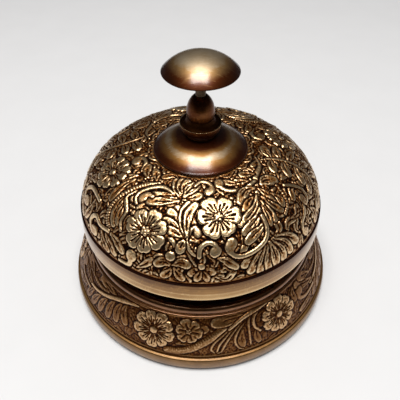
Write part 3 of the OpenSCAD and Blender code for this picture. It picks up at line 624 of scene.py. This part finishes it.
# One repeat of the dome's ornament, which runs round twice. Angles are degrees from the front, towards +X,
# and heights are millimetres up the dome from its groove. Rows: kind, relief height, half width, and one or
# more curves, each from root to tip; for a flower: relief height, radius, petals, slits in each, turn in
# degrees, centre.
domeMotifs = [
    # arched leaf with a beaded edge
    ("lobe", 0.5, 0.9, [(-47.4, 23), (-49, 19.6), (-48, 15), (-44.8, 11.2)]),
    ("lobe", 0.5, 0.8, [(-45.6, 19.6), (-45, 16), (-42.8, 12.4)]),
    ("stem", 0.55, 0.7,
        [(-45.4, 24.6), (-47.6, 21), (-44.4, 18.8), (-41.6, 17), (-41.6, 13.4), (-39.4, 10.8)]),
    ("bead", 0.65, 0.7,
        [(-36, 30.6), (-43, 28.6), (-48.6, 24.6), (-51.8, 19.6), (-52, 14.6), (-49, 10.6), (-44.6, 8.2)]),
    # leaves and scrolls along the lower edge, left
    ("lobe", 0.55, 0.9, [(-45, 8), (-40, 6.8), (-35.6, 4.6)]),
    ("lobe", 0.5, 0.9, [(-47, 6.4), (-43.6, 4.4), (-39.4, 2)], [(-50, 6), (-47.6, 3.4), (-43.6, 1.4)]),
    ("curl", 0.65, 1.4, [(-46, 8), (-52, 7.4), (-57, 8.4), (-60, 6), (-58, 3), (-54.6, 3.4)]),
    ("lobe", 0.5, 0.8, [(-27, 1.6), (-24, 3.6), (-21, 6)]),
    ("curl", 0.7, 1.5, [(-36, 0.9), (-31.4, 1.2), (-30.4, 3.4), (-30.6, 5)]),
    # strands from the palmette, and the spiral
    ("lobe", 0.55, 1.0,
        [(-14, 27.8), (-22, 28), (-28, 27), (-33, 26.4)],
        [(-15, 26.9), (-22, 25.8), (-28, 24.8), (-33, 23.6)]),
    ("curl", 0.6, 1.5, [(-33.6, 25.6), (-37.4, 25.4), (-39.4, 23.6)]),
    ("stem", 0.65, 0.8,
        [(-13, 28), (-22, 29.6), (-31, 30.2), (-38, 28.2), (-42.2, 25.2), (-42.4, 22.6), (-39.6, 21)]),
    # palmette under the collar, and its scroll
    ("lobe", 0.55, 1.0, [(-12.4, 27.8), (-7, 28.4), (-1, 29.6)]),
    ("lobe", 0.65, 1.15,
        [(-14.2, 28.4), (-18.4, 31), (-22.6, 34)], [(-13.6, 28.8), (-16, 31.8), (-17.6, 34.6)]),
    ("lobe", 0.65, 1.05, [(-12.8, 29), (-13, 32), (-12.6, 34.8)]),
    ("lobe", 0.7, 1.3, [(-11.8, 28.8), (-9, 31.6), (-4.6, 33.4)]),
    ("curl", 0.75, 1.15, [(-4.6, 33.4), (-1, 35), (4, 35.2), (8.6, 34), (9.4, 31.8), (6.4, 30.8)]),
    # sprig
    ("stem", 0.45, 0.5, [(-6.4, 14.6), (-6, 11.6), (-4, 8.6), (-1.8, 6.4)]),
    ("lobe", 0.65, 1.1,
        [(-7.5, 16.2), (-11.5, 20.4), (-14.2, 24)], [(-7.8, 15.9), (-13, 19.6), (-17.6, 22.6)]),
    ("lobe", 0.6, 1.0, [(-8, 15.6), (-13.4, 18), (-18.4, 19.6)]),
    ("lobe", 0.55, 0.9, [(-8.2, 15.2), (-12.2, 16.2), (-16, 17)]),
    ("stem", 0.55, 0.75, [(-15.2, 14.4), (-12.6, 13.4), (-10.6, 11)]),
    ("lobe", 0.6, 1.0, [(-7.4, 14.4), (-8.6, 12.8), (-9.2, 11.2)]),
    ("curl", 0.6, 0.9, [(-6.2, 15), (-4.6, 17.8), (-2.6, 18.6), (-1.4, 16.6)]),
    ("lobe", 0.7, 0.8, [(-7, 15), (-9.8, 19), (-10.4, 23), (-8.2, 26.4)]),
    ("lobe", 0.78, 0.95, [(-6.4, 14.8), (-7.2, 19), (-6.9, 22.8), (-3.4, 26)]),
    ("ball", 0.5, 0.8, [(-1.6, 11.6)]),
    ("stem", 0.55, 0.55, [(-6.5, 14.8), (-5, 11.6), (-2.6, 9.9), (-0.4, 10)]),
    ("curl", 0.75, 1.25, [(-0.6, 9.4), (-0.2, 12), (2.6, 13.7), (6, 13.3), (7.2, 11.6), (6.2, 10.6)]),
    ("lobe", 0.5, 0.9, [(7.6, 8.6), (10.8, 7.6), (14.6, 5)]),
    # two small rosettes
    ("lobe", 0.5, 1.0, [(-12, 5.6), (-15.6, 6.6), (-18.4, 5.4)], [(-11.5, 5.8), (-8.6, 7.2), (-5.6, 6.6)]),
    ("lobe", 0.45, 0.9, [(-12, 5), (-13.4, 3), (-15.4, 1.6)], [(-11, 5), (-9.4, 3), (-7.6, 1.6)]),
    ("ball", 0.6, 1.3, [(-13, 8.8)]),
    ("lobe", 0.4, 0.9, [(0.4, 5), (-2, 4.6), (-4, 3.6)], [(0.4, 5), (2.8, 4.8), (4.8, 4)]),
    ("lobe", 0.4, 0.8, [(0.4, 5), (1.8, 3.2), (2.6, 1.6)], [(0.4, 5), (-0.8, 3.2), (-1.6, 1.6)]),
    ("ball", 0.5, 0.9, [(0.4, 6.2)]),
    # acanthus: the stem, leaves left and right of it, the fan at its foot
    ("stem", 0.5, 0.9,
        [(74, 34.6), (68, 32.6), (62, 31.4), (55, 30.8), (48, 29.6), (43, 27), (38.5, 24.2), (35, 21),
        (33.6, 17), (33.4, 14)]),
    ("lobe", 0.5, 0.9, [(42, 30.5), (36, 31.8), (30.4, 32.4)], [(52, 31.4), (46.6, 32.8), (42.4, 34)]),
    ("lobe", 0.45, 0.8, [(34, 31.2), (28, 32.6), (23, 34)]),
    ("curl", 0.65, 1.2, [(46, 29.2), (36, 28.9), (27, 29.4), (20.5, 30.6), (16.8, 32.6), (17.4, 34.2)]),
    ("lobe", 0.6, 1.15, [(42, 27), (36, 28), (31, 27.3), (26.5, 25)]),
    ("lobe", 0.45, 0.8, [(36, 24.8), (31, 24), (26.4, 22)]),
    ("lobe", 0.65, 0.95, [(38.5, 24.8), (33, 21.6), (27, 19.6), (21, 18)]),
    ("lobe", 0.6, 1.0,
        [(35, 20.5), (31, 18.2), (26.5, 16.6), (21.8, 15.2)],
        [(33.4, 16), (29.5, 14.4), (25.5, 13.4), (22, 12.2)]),
    ("lobe", 0.5, 0.9, [(43, 26.5), (44.5, 24), (46.5, 21.5)]),
    ("lobe", 0.5, 0.8, [(41, 23.5), (43, 19.5), (46, 16)]),
    ("lobe", 0.55, 0.75, [(38.5, 22.5), (39.3, 18.5), (39.3, 14.8)]),
    ("lobe", 0.5, 0.7, [(36.8, 20.8), (36.8, 17.5), (36, 14.6)]),
    ("lobe", 0.6, 1.4, [(48, 27), (53, 27), (57.5, 25)]),
    ("lobe", 0.5, 0.9, [(48, 22.5), (49.6, 19.5), (49, 17.4)]),
    ("bead", 0.5, 0.5, [(55.5, 23), (54, 19), (51, 16), (46.6, 14.4)]),
    ("curl", 0.55, 1.2, [(61, 12), (57.5, 9), (53.5, 7.6), (52.6, 5), (54.6, 3.2)]),
    ("lobe", 0.6, 1.1,
        [(29.5, 10), (24, 7.4), (18.6, 5)], [(35, 10.2), (41.5, 7.8), (46, 4.2)],
        [(30, 9.7), (25, 5.6), (21, 2.2)], [(34, 9.8), (39, 6.6), (41.6, 2.4)],
        [(30.6, 9.4), (27.4, 5), (25.2, 1.1)], [(33, 9.5), (36, 5.6), (37.4, 1.5)],
        [(31.3, 9.3), (30, 5), (29.2, 0.9)], [(32, 9.3), (33, 5), (33.3, 1)]),
    ("curl", 0.6, 1.3,
        [(33.8, 18), (33.2, 14), (30.6, 10.8), (25, 8.8), (18.5, 8.0), (14.2, 9.0), (12.9, 11.1),
        (14.4, 12.9)]),
    # second leaf spray, on the shoulder
    ("lobe", 0.6, 1.1, [(78, 28.6), (84, 30.6), (90, 31.6)]),
    ("lobe", 0.6, 1.0,
        [(80.6, 25), (86, 26.6), (91.6, 27)], [(82, 21.4), (86.4, 21.8), (91.4, 20.6)],
        [(81.6, 17.6), (86, 16.4), (89.6, 14)], [(80.4, 13.6), (84.6, 11.6), (87.4, 8.6)]),
    ("lobe", 0.6, 1.1, [(78.4, 10.4), (81.6, 7), (82.6, 3)]),
    ("lobe", 0.6, 1.0,
        [(76.6, 29), (71.6, 28.4), (66.6, 26.6)], [(80, 24.6), (74.6, 23.6), (70, 21.4)],
        [(81.6, 20), (76.6, 18), (72.6, 15.2)], [(80.6, 15.4), (76, 12.8), (71.6, 11.2)]),
    ("lobe", 0.6, 1.1, [(77.4, 9.4), (74.4, 6), (70, 4)], [(77.6, 8.8), (77.4, 5), (76, 1.6)]),
    ("stem", 0.55, 0.7, [(73, 32), (78.6, 28), (81.6, 22), (81, 14), (77, 8.4)]),
    ("curl", 0.55, 1.1, [(60, 21), (64, 18.6), (67, 15), (66, 11.6), (63, 11), (62.4, 13.4)]),
    ("curl", 0.6, 1.4, [(88, 1.6), (92, 4.6), (96.6, 4.4), (97.4, 7), (94.6, 7.8)]),
    ("lobe", 0.55, 1.0, [(64, 8), (66, 5), (65, 2)]),
    # round the third flower
    ("lobe", 0.55, 1.1, [(-57, 28.4), (-60.4, 25), (-59.6, 20.6)]),
    ("lobe", 0.5, 1.0, [(-54.6, 27), (-56.6, 22), (-55.6, 17)]),
    ("curl", 0.6, 1.3, [(-58, 31), (-65, 33.4), (-72, 33.4), (-75, 31.6), (-71.6, 30.6)]),
    ("lobe", 0.5, 0.9, [(-48, 30.6), (-54, 31.6), (-59, 33.6)], [(-40, 31.4), (-44, 33), (-49, 34.2)]),
    ("curl", 0.6, 1.4, [(-61, 13), (-67, 13), (-73, 12), (-76.4, 9), (-73.6, 6.6), (-69.6, 7.6)]),
    ("lobe", 0.55, 1.0, [(-64, 11.4), (-63.6, 7.4), (-65.6, 3.6)], [(-78, 5.4), (-74, 3), (-69.6, 2)]),
    ("lobe", 0.5, 0.9, [(-81, 10), (-79.6, 13.4), (-75.6, 14.4)]),
    ("flower", 0.75, 6.9, 10, 2, 8, (-72, 21.6)),
    ("flower", 0.8, 7.4, 7, 3, 24, (-27.2, 14.4)),
    ("flower", 0.9, 7.2, 6, 3, 4, (10.2, 21.6)),
]

bellRadius, bellFoot, bellTop = places("bell")
domeRadius, domeFoot = bellRadius - bellShape["inset"], bellFoot + bellShape["sink"]
domeTall = bellTop + bellShape["rise"] - domeFoot
seatEdge = places("collar_disc")[0] + 0.1
wall, bore = bellShape["wall"], bellShape["bore"]


def domePoint(t, inset):
    # squashed quarter circle: radius falls as cos(t) to 0.6, height grows as sin(t) to 0.95
    r = (domeRadius - inset) * math.cos(t) ** bellShape["sidePower"]
    return (r, domeFoot + (domeTall - inset) * math.sin(t) ** bellShape["risePower"])


def domeAngle(height, inset):
    # the t at which domePoint is this high
    return math.asin(((height - domeFoot) / (domeTall - inset)) ** (1 / bellShape["risePower"]))


def shade(group, value):
    # one value for every point of each ring
    return [np.full(len(ring), value) for ring in group]


ornamentFoot = domeAngle(bellFoot + bellShape["ornamentFrom"], 0)
outside = [domePoint(t, 0) for t in np.linspace(ornamentFoot, domeAngle(bellTop, 0), 600)]
outside += [(r, bellTop) for r in np.linspace(outside[-1][0], seatEdge, 40)[1:]]
rings, tones, hollows = reliefRings(outside, 2, domeMotifs, bellShape)
below = eased([(bellRadius + out, bellFoot + up) for out, up in bellShape["band"]], 0.14, False)
crown = [(seatEdge, bellTop), (bellShape["seat"], bellTop), (bore, bellTop), (bore, bellTop - wall)]
above = eased(crown, 0.2, False)[1:]
within = [domePoint(t, wall) for t in np.linspace(domeAngle(bellTop - wall, wall), 0, 13)]
lower = [ringPoints(r, z, 480) for r, z in below]
upper = [ringPoints(r, z, 240) for r, z in above + within]
bell = makePiece(
    "bell_dome", lower + rings + upper, True, bellMaterial, "base", ["bell"],
    {"relief": shade(lower, -0.3) + tones + shade(upper, 0.1),
     "hollow": shade(lower, -0.1) + hollows + shade(upper, 0.0)})
bandTop, underCollar = bellFoot + bellShape["bandTop"], seatEdge - 0.1
secondFinish(bell, rimMaterial, lambda r, z: (z < bandTop) | (z > bellTop - 0.04) & (r < underCollar))
# painted highlight: the lowest 0.7 mm of the rim, 0.8 mm in from its edge, takes full tone, as a mirrored
# table top would make it
paintedHighlightTop, paintedHighlightInner = bellFoot + bellShape["paintedHighlightHeight"], bellRadius - bellShape["paintedHighlightWidth"]
secondFinish(bell, paintedHighlightMaterial, lambda r, z: (z < paintedHighlightTop) & (r > paintedHighlightInner))
print("bell carved:", len(bell.data.polygons), "faces")

# base

baseShape = {
    # edge: the sharp edges of the ornament are made lighter, as rubbed metal and as painted highlight
    "columns": 1056, "spacing": 0.3, "thinAbove": 99, "crest": 0.36, "edge": 3.0,
    "ground": -0.32, "stipple": 0.06, "seed": 9,
    "fillStep": 4.8, "fillHeight": 0.16, "fillWidth": 1.2,
    "fullness": (1.3, 1.7),
    "lipTop": 6.3, "lipBulge": 1.2,
    "bandFoot": (1.5, 7.6),  # in from the foot's radius, height
    "bandHead": (45.4, 3.4),  # radius, down from the top
    "bandBulge": 0.9,
    "beadMiddle": 43.2, "bead": 1.6, "deck": 20.0, "bore": 5.1, "wall": 3.0,
    "ledge": (47.8, 50.6, 2.6),  # inner and outer radius of the cover plate's ledge, and its height
}

# One repeat of the band's ornament, which runs round three times. Same units; heights are up the band from
# its foot.
bandMotifs = [
    # leaf spray, left
    ("lobe", 0.4, 1.0,
        [(-34.4, 14), (-35, 10.4), (-33.4, 6.4)], [(-37, 13.4), (-38.4, 9.6), (-38.4, 5)],
        [(-41, 12.4), (-42.6, 8.4), (-43.4, 3.6)], [(-45.4, 10.8), (-47.6, 7), (-49, 2.6)],
        [(-50, 9.2), (-52.6, 5.6), (-54.6, 1.8)], [(-55, 8.4), (-57.6, 5), (-59.6, 1.8)]),
    ("lobe", 0.42, 1.1, [(-41.6, 14.2), (-47, 15), (-52, 15.4)]),
    ("bead", 0.4, 0.55, [(-46, 13), (-52, 12), (-60, 12.6)]),
    ("stem", 0.5, 0.9, [(-28.6, 15.4), (-34, 14.8), (-40, 13.4), (-47, 11), (-54, 9.2), (-61, 8.6)]),
    # small blossom and the combed leaf
    ("stem", 0.35, 0.5, [(-1.4, 14.6), (2.6, 12.4), (6.4, 10)]),
    ("lobe", 0.4, 1.0, [(-4.4, 11.6), (-1, 11.4), (2, 12)]),
    ("lobe", 0.4, 0.9, [(-9.6, 5.4), (-6, 6.2), (-2.6, 5.6)]),
    ("flower", 0.46, 4.9, 6, 1, 10, (-4.9, 11)),
    ("comb", 0.5, 1.25, [(-13.4, 1.8), (-8.6, 2.2), (-3.6, 3.8), (1.4, 6.6), (6.4, 9.4), (9.6, 11.4)]),
    # leaf spray, middle
    ("lobe", 0.45, 1.4, [(21, 14.7), (14, 14.8), (6.6, 14)]),
    ("stem", 0.4, 0.5,
        [(16.4, 13.6), (11, 10.2), (6, 6.6), (4.2, 3.4), (5.4, 1.6)],
        [(17.4, 13.4), (12, 9.6), (8, 5.6), (6.4, 1.6)],
        [(18.4, 13.2), (13, 9), (10, 5), (8.4, 2), (6.8, 1.2)]),
    ("lobe", 0.35, 0.9, [(17.6, 9.4), (16.8, 6), (17.2, 2.6)]),
    ("stem", 0.4, 0.5,
        [(19.4, 12.4), (15.6, 9.6), (14, 6), (15.2, 2.4), (17.2, 1)],
        [(22.4, 14.8), (20.6, 12), (20.4, 7), (20.6, 2)]),
    ("lobe", 0.4, 0.8, [(24, 9), (23.4, 5.6), (24.4, 2.4)]),
    ("stem", 0.45, 0.7, [(30, 15.8), (25.4, 14.8), (23, 12.6), (23, 9.4), (25.4, 6.6)]),
    ("stem", 0.5, 0.85, [(31, 16), (24, 15.4), (17.6, 13.8), (12, 11)]),
    # scrolled leaf, right
    ("lobe", 0.42, 1.2, [(61, 9.4), (55, 11.4), (49.6, 14.2)]),
    ("lobe", 0.42, 1.1, [(61, 12.6), (57, 14), (53, 15.4)]),
    ("curl", 0.42, 1.4, [(61, 6.4), (54, 6.4), (49.6, 8), (48, 10.4), (50.2, 11)]),
    ("lobe", 0.4, 0.9, [(58, 4.6), (53, 3.2), (48.6, 2.8)]),
    ("lobe", 0.4, 0.8, [(46.6, 14.8), (45.6, 12.6), (46, 9.6)]),
    ("flower", 0.55, 7.4, 9, 3, 0, (35.6, 9.2)),
    ("flower", 0.58, 7.7, 9, 3, 12, (-19.8, 9.0)),
]

footRadius, footZ, baseTop = places("base_casting")
lipTop, lipBulge, wall, bore = (baseShape[key] for key in ("lipTop", "lipBulge", "wall", "bore"))
beadMiddle, beadHalf, deckTop = (baseShape[key] for key in ("beadMiddle", "bead", "deck"))
lipMid, lipHalf = (footZ + lipTop) / 2, (lipTop - footZ) / 2
# sloping band: a straight line between its ends, plus a sine that bulges outwards
bandLow = np.array([footRadius - baseShape["bandFoot"][0], baseShape["bandFoot"][1]])
bandHigh = np.array([baseShape["bandHead"][0], baseTop - baseShape["bandHead"][1]])
steps = np.linspace(0, 1, 300)[:, None]
band = bandLow + steps * (bandHigh - bandLow) + baseShape["bandBulge"] * np.sin(np.pi * steps) * [0.92, 0.4]
rings, tones, hollows = reliefRings(band, 3, bandMotifs, baseShape)
# smooth lip: radius bulges as the root of cos(a), height follows sin(a)
sweep = np.radians(np.linspace(-90, 90, 19))
lip = [
    (footRadius - lipBulge + lipBulge * math.sqrt(max(math.cos(a), 0)), lipMid + lipHalf * math.sin(a))
    for a in sweep]
step = [(footRadius - 1.8, 6.75), (footRadius - 1.72, 7.3)]
below = eased([(footRadius - 2.9, footZ)] + lip + step, 0.12, False)
bead = arc((beadMiddle, baseTop - beadHalf), beadHalf, -60, 180, 22)
above = eased([(45.2, 22.85), (44.75, 22.8)] + bead, 0.1, False)
deckSide = [bead[-1], (beadMiddle - beadHalf, deckTop), (bore, deckTop), (bore, deckTop - wall)]
deck = eased(deckSide, 0.4, False)[1:]
inner = [(r - wall, z) for r, z in band[::30][::-1] if z < deckTop - wall - 0.5]
ledgeInner, ledgeOuter, ledgeZ = baseShape["ledge"]
ledge = [(ledgeInner, ledgeZ), (ledgeOuter, ledgeZ), (ledgeOuter, footZ)]
hollowSide = eased([(bore, deckTop - wall), (inner[0][0], deckTop - wall)] + inner + ledge, 0.1, False)[1:]
lower = [ringPoints(r, z, 528) for r, z in below]
upper = [ringPoints(r, z, 528) for r, z in above] + [ringPoints(r, z, 264) for r, z in deck + hollowSide]
# painted highlight along the top edge of the lip, and a little darker on the step above it
paintedLipHighlight = ([4.6, 5.8, 6.2, 6.4], [0.04, 0.06, 0.04, -0.03])  # the step's edge over the lip, by height
lipShade = [np.full(len(ring), np.interp(ring[0, 2], *paintedLipHighlight)) for ring in lower]
base = makePiece(
    "base_relief", lower + rings + upper, True, baseMaterial, "base", ["base_casting"],
    {"relief": shade(lower, 0.12) + tones + shade(upper, -0.3),
     "hollow": lipShade + hollows + shade(upper, -0.06)})
secondFinish(base, ringMaterial, lambda r, z: (z > 22.6) & (r > 41.8))
secondFinish(base, lipMaterial, lambda r, z: (z < lipTop + 0.1) & (r > footRadius - 1.6))
print("base carved:", len(base.data.polygons), "faces")

# turned pieces

# button: part of a sphere, hollow below round a boss
buttonShape = {"crown": 5.6, "skin": 1.3, "boss": 3.25, "socket": 1.77, "socketTop": 2.05, "columns": 192}
radius, bossFoot, top = places("button")
crown, boss, socket = buttonShape["crown"], buttonShape["boss"], buttonShape["socket"]
edgeZ, ball = top - crown, (radius**2 + crown**2) / (2 * crown)
socketZ, innerBall = edgeZ + buttonShape["socketTop"], ball - buttonShape["skin"]
edgeAngle, bossAngle, hollowAngle = (
    90 - math.degrees(math.asin(x)) for x in (radius / ball, boss / innerBall, (radius - 0.8) / ball))
under = arc((0, top - ball), innerBall, bossAngle, hollowAngle, 14)
outline = (
    [(0, socketZ), (socket, socketZ), (socket, bossFoot), (boss - 0.3, bossFoot), (boss, bossFoot + 0.4)]
    + [p for p in under if p[1] > edgeZ - 0.3]
    + [(radius - 0.5, edgeZ - 0.35), (radius - 0.12, edgeZ - 0.2)]
    + arc((0, top - ball), ball, edgeAngle, 89.2, 40)
    + [(0, top)]
)
turned(
    "push_button", outline, buttonMaterial, "plunger", ["button"],
    buttonShape["columns"], 0.08, False)

# collar: a low dome, part of a sphere, with a narrow lip
collarShape = {
    "flat": 5.4, "lip": 0.5, "lipHeight": 1.1, "bore": 3.1, "recess": 6.8, "recessTop": 0.8, "columns": 240}
radius, foot, top = places("collar_disc")
flatRadius, bore, recess = collarShape["flat"], collarShape["bore"], collarShape["recess"]
crownRadius, lipTop = radius - collarShape["lip"], foot + collarShape["lipHeight"]
recessZ = foot + collarShape["recessTop"]
ballZ = (crownRadius**2 - flatRadius**2 + lipTop**2 - top**2) / (2 * (lipTop - top))
ball = math.hypot(flatRadius, top - ballZ)
lowAngle, highAngle = (math.degrees(math.acos(r / ball)) for r in (crownRadius, flatRadius))
outline = (
    [(recess, foot), (radius - 0.3, foot), (radius, foot + 0.3),
     (radius, lipTop - 0.3), (radius - 0.25, lipTop)]
    + arc((0, ballZ), ball, lowAngle, highAngle, 34)
    + [(bore, top), (bore, recessZ), (recess, recessZ)]
)
turned(
    "collar", outline, collarMaterial, "base", ["collar_disc"], collarShape["columns"], 0.1)

# cup: foot, a bowl that swells as a quarter circle, thin lip, and a turned filling that rises to the nut
cupShape = {
    "neck": 5.0, "foot": 5.2, "bore": 3.1, "bowlFrom": 0.18, "columns": 160,
    "filling": [(6.0, -0.1), (5.2, 0.5), (4.6, 1.4), (4.2, 1.9)],  # radius, height over the lip
}
lipRadius, foot, top = places("cup_ferrule")
tall, neck, cupFoot, bore = top - foot, cupShape["neck"], cupShape["foot"], cupShape["bore"]
bowlFoot, floorZ = foot + cupShape["bowlFrom"] * tall, foot + tall / 2
sweep = np.radians(np.linspace(0, 90, 18))
bowl = [
    (neck + (lipRadius - neck) * math.sin(a), bowlFoot + (top - bowlFoot) * (1 - math.cos(a)))
    for a in sweep]
filling = [(lipRadius - 0.3, top), (lipRadius - 0.55, top - 0.45)]
filling += [(r, top + up) for r, up in cupShape["filling"]] + [(cupShape["filling"][-1][0], floorZ)]
outline = (
    [(bore, foot), (cupFoot, foot), (cupFoot + 0.1, foot + 0.09 * tall), (neck, bowlFoot - 0.02 * tall)]
    + bowl + filling + [(bore, floorZ)]
)
cup = turned(
    "cup", outline, cupMaterial, "base", ["cup_ferrule"], cupShape["columns"], 0.08)
secondFinish(cup, cupInsideMaterial, lambda r, z: (z > top - 0.5) & (r < lipRadius - 0.45))
# painted highlight along the top of the cup's lip
secondFinish(cup, paintedHighlightMaterial, lambda r, z: (z > top - 0.1) & (r > lipRadius - 0.4))

# guide nut: waist, belly and a round nose, an ellipse's quarter cut off at the rod
nutShape = {"nose": 2.08, "belly": 0.5, "bore": 1.83, "thread": 3.05, "threadTop": 3.3, "columns": 160}
belly, foot, top = places("guide_nut")
tall, bore, thread, threadTop = top - foot, nutShape["bore"], nutShape["thread"], top - nutShape["threadTop"]
bellyZ, noseAngle = foot + nutShape["belly"] * tall, math.acos(nutShape["nose"] / belly)
noseTall = (top - bellyZ) / math.sin(noseAngle)
nose = [(belly * math.cos(a), bellyZ + noseTall * math.sin(a)) for a in np.linspace(0, noseAngle, 26)]
outline = (
    [(thread, foot), (belly - 0.7, foot),
     (belly - 0.5, foot + 0.275 * tall), (belly - 0.15, foot + 0.35 * tall)]
    + nose + [(bore, top - 0.2), (bore, threadTop), (thread, threadTop)]
)
turned(
    "nut_with_round_nose", outline, darkMaterial, "base", ["guide_nut"],
    nutShape["columns"], 0.1)

# rod: round foot, groove for its ring
rodShape = {"grooveDepth": 0.4, "grooveGap": 0.05, "columns": 64}
radius, foot, top = places("plunger_rod")
clipFoot, clipTop = places("rod_clip")[1:]
neck = radius - rodShape["grooveDepth"]
grooveLow, grooveHigh = clipFoot - rodShape["grooveGap"], clipTop + rodShape["grooveGap"]
outline = (
    [(0, foot)] + arc((0, foot + radius), radius, -85, 0, 9)
    + [(radius, grooveLow), (neck, grooveLow), (neck, grooveHigh), (radius, grooveHigh),
       (radius, top), (0, top)]
)
turned(
    "push_rod", outline, steelMaterial, "plunger", ["plunger_rod"],
    rodShape["columns"], 0.05, False)
print("turned pieces ready")

# return spring: round wire wound as a screw, its end turns laid flat.
springShape = {"turns": 7, "wire": 0.6, "endPitch": 1.05, "travel": 5, "sides": 10, "stepsPerTurn": 32}
radius, foot, top = places("return_spring")
tall, wire, turns = top - foot, springShape["wire"], springShape["turns"]
u = np.linspace(0, 1, turns * springShape["stepsPerTurn"] + 1)[:, None]
around = np.linspace(0, 2 * np.pi, springShape["sides"], endpoint=False)
flatPart, endRise = 1 / turns, springShape["endPitch"] * wire
# height = a slow rise over each flat end turn + the even rise between them
climb = endRise * (np.minimum(u, flatPart) + np.maximum(0, u - 1 + flatPart)) / flatPart
climb = climb + (tall - wire - 2 * endRise) * np.clip((u - flatPart) / (1 - 2 * flatPart), 0, 1)
turn = 2 * np.pi * turns * u
coil = radius - wire / 2 + wire / 2 * np.cos(around)
height = foot + wire / 2 + climb + wire / 2 * np.sin(around)
wireRings = np.stack([coil * np.cos(turn), coil * np.sin(turn), height], 2)
wireEnds = wireRings[[0, -1]].mean(1, keepdims=True)
springPiece = makePiece(
    "wire_spring", [wireEnds[0], *wireRings, wireEnds[1]], False, springMaterial, "base",
    ["return_spring"])
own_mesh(springPiece)
print("spring wound")

# pieces carried over from the frame

slotMaterials = {
    "plain_brass": plainBrassMaterial, "turned_steel": steelMaterial, "plated_steel": platedMaterial,
    "spring_steel": springMaterial, "fibre": fibreMaterial, "felt": feltMaterial,
    "turned_brass": buttonMaterial, "dark_turned_brass": darkMaterial,
    "antique_brass_bell": bellMaterial, "antique_brass_base": baseMaterial,
}
slotOf = {row["node"]: row["material_slot"] for row in frame["record"]["subparts"]}
for name, item in frame["nodes"].items():
    item.data.materials.clear()
    item.data.materials.append(slotMaterials[slotOf[name]])
print("frame pieces finished:", len(slotOf))

# table top and light

floorSize = {"left": -0.55, "right": 0.55, "front": -0.42, "back": 0.62}
sides = (("left", "front"), ("right", "front"), ("right", "back"), ("left", "back"))
corners = [(floorSize[a], floorSize[b], 0) for a, b in sides]
floorMesh = bpy.data.meshes.new("table_top")
floorMesh.from_pydata(corners, [], [(0, 1, 2, 3)])
floor = bpy.data.objects.new("table_top", floorMesh)
bpy.context.scene.collection.objects.link(floor)
floorMaterial, tree = newMaterial("white_laminate")  # a matt white board, faintly uneven
where = add(tree, "TexCoord")
cloud = add(tree, "TexNoise", {"Vector": (where, "Object"), "Scale": 40, "Detail": 4})  # clouds of 25 mm
colour = add(tree, "ValToRGB", {0: (cloud, "Fac")}, [(0.3, "#dedede"), (0.7, "#e0e0e0")])
board = add(tree, "BsdfPrincipled", {"Base Color": (colour, 0), "Roughness": 0.7})
add(tree, "OutputMaterial", {"Surface": (board, 0)})
floorMesh.materials.append(floorMaterial)

lamp = {"width": 0.6, "depth": 0.42, "place": (-0.03, -0.14, 1.06), "tilt": -8, "watts": 12.6}
lampData = bpy.data.lights.new("softbox", "AREA")
lampData.shape = "RECTANGLE"
lampData.size, lampData.size_y = lamp["width"], lamp["depth"]
lampData.energy = lamp["watts"]
lampData.color = (1.0, 0.99, 0.975)
softbox = bpy.data.objects.new("softbox", lampData)
softbox.location = lamp["place"]
softbox.rotation_euler = (math.radians(lamp["tilt"]), 0, 0)
bpy.context.scene.collection.objects.link(softbox)

# walls and ceiling are what the brass mirrors, fill lights the matt parts, backdrop is what the camera sees
room = {"walls": 0.3, "ceiling": 0.03, "fill": 0.28, "backdrop": 0.84}
world = bpy.data.worlds.new("studio")
bpy.context.scene.world = world
world.use_nodes = True
tree = world.node_tree
tree.nodes.clear()
path = add(tree, "LightPath")
# pale side walls, seen in the brass only: strength rises towards left and right and falls with height
heading = add(tree, "SeparateXYZ", {0: (add(tree, "TexCoord"), "Generated")})
aside = add(tree, "Math", {0: (heading, "X")}, operation="ABSOLUTE")
beside = add(tree, "MapRange", {
    "Value": (aside, 0), "From Min": 0.6, "From Max": 0.95, "To Min": 0, "To Max": room["walls"]})
wall = add(tree, "MapRange", {
    "Value": (heading, "Z"), "From Min": 0.25, "From Max": 0.05, "To Min": 0, "To Max": 1})
mirrored = add(tree, "Math", {0: (beside, 0), 1: (wall, 0), 2: room["ceiling"]}, operation="MULTIPLY_ADD")
shine = add(tree, "Mix", {
    0: (path, "Is Glossy Ray"), "A": room["fill"], "B": (mirrored, 0)}, data_type="FLOAT")
seen = add(tree, "Mix", {
    0: (path, "Is Camera Ray"), "A": (shine, 0), "B": room["backdrop"]}, data_type="FLOAT")
backdrop = add(tree, "Background", {"Color": linear("#f6f5f8"), "Strength": (seen, 0)})
add(tree, "OutputWorld", {"Surface": (backdrop, 0)})
print("light ready")
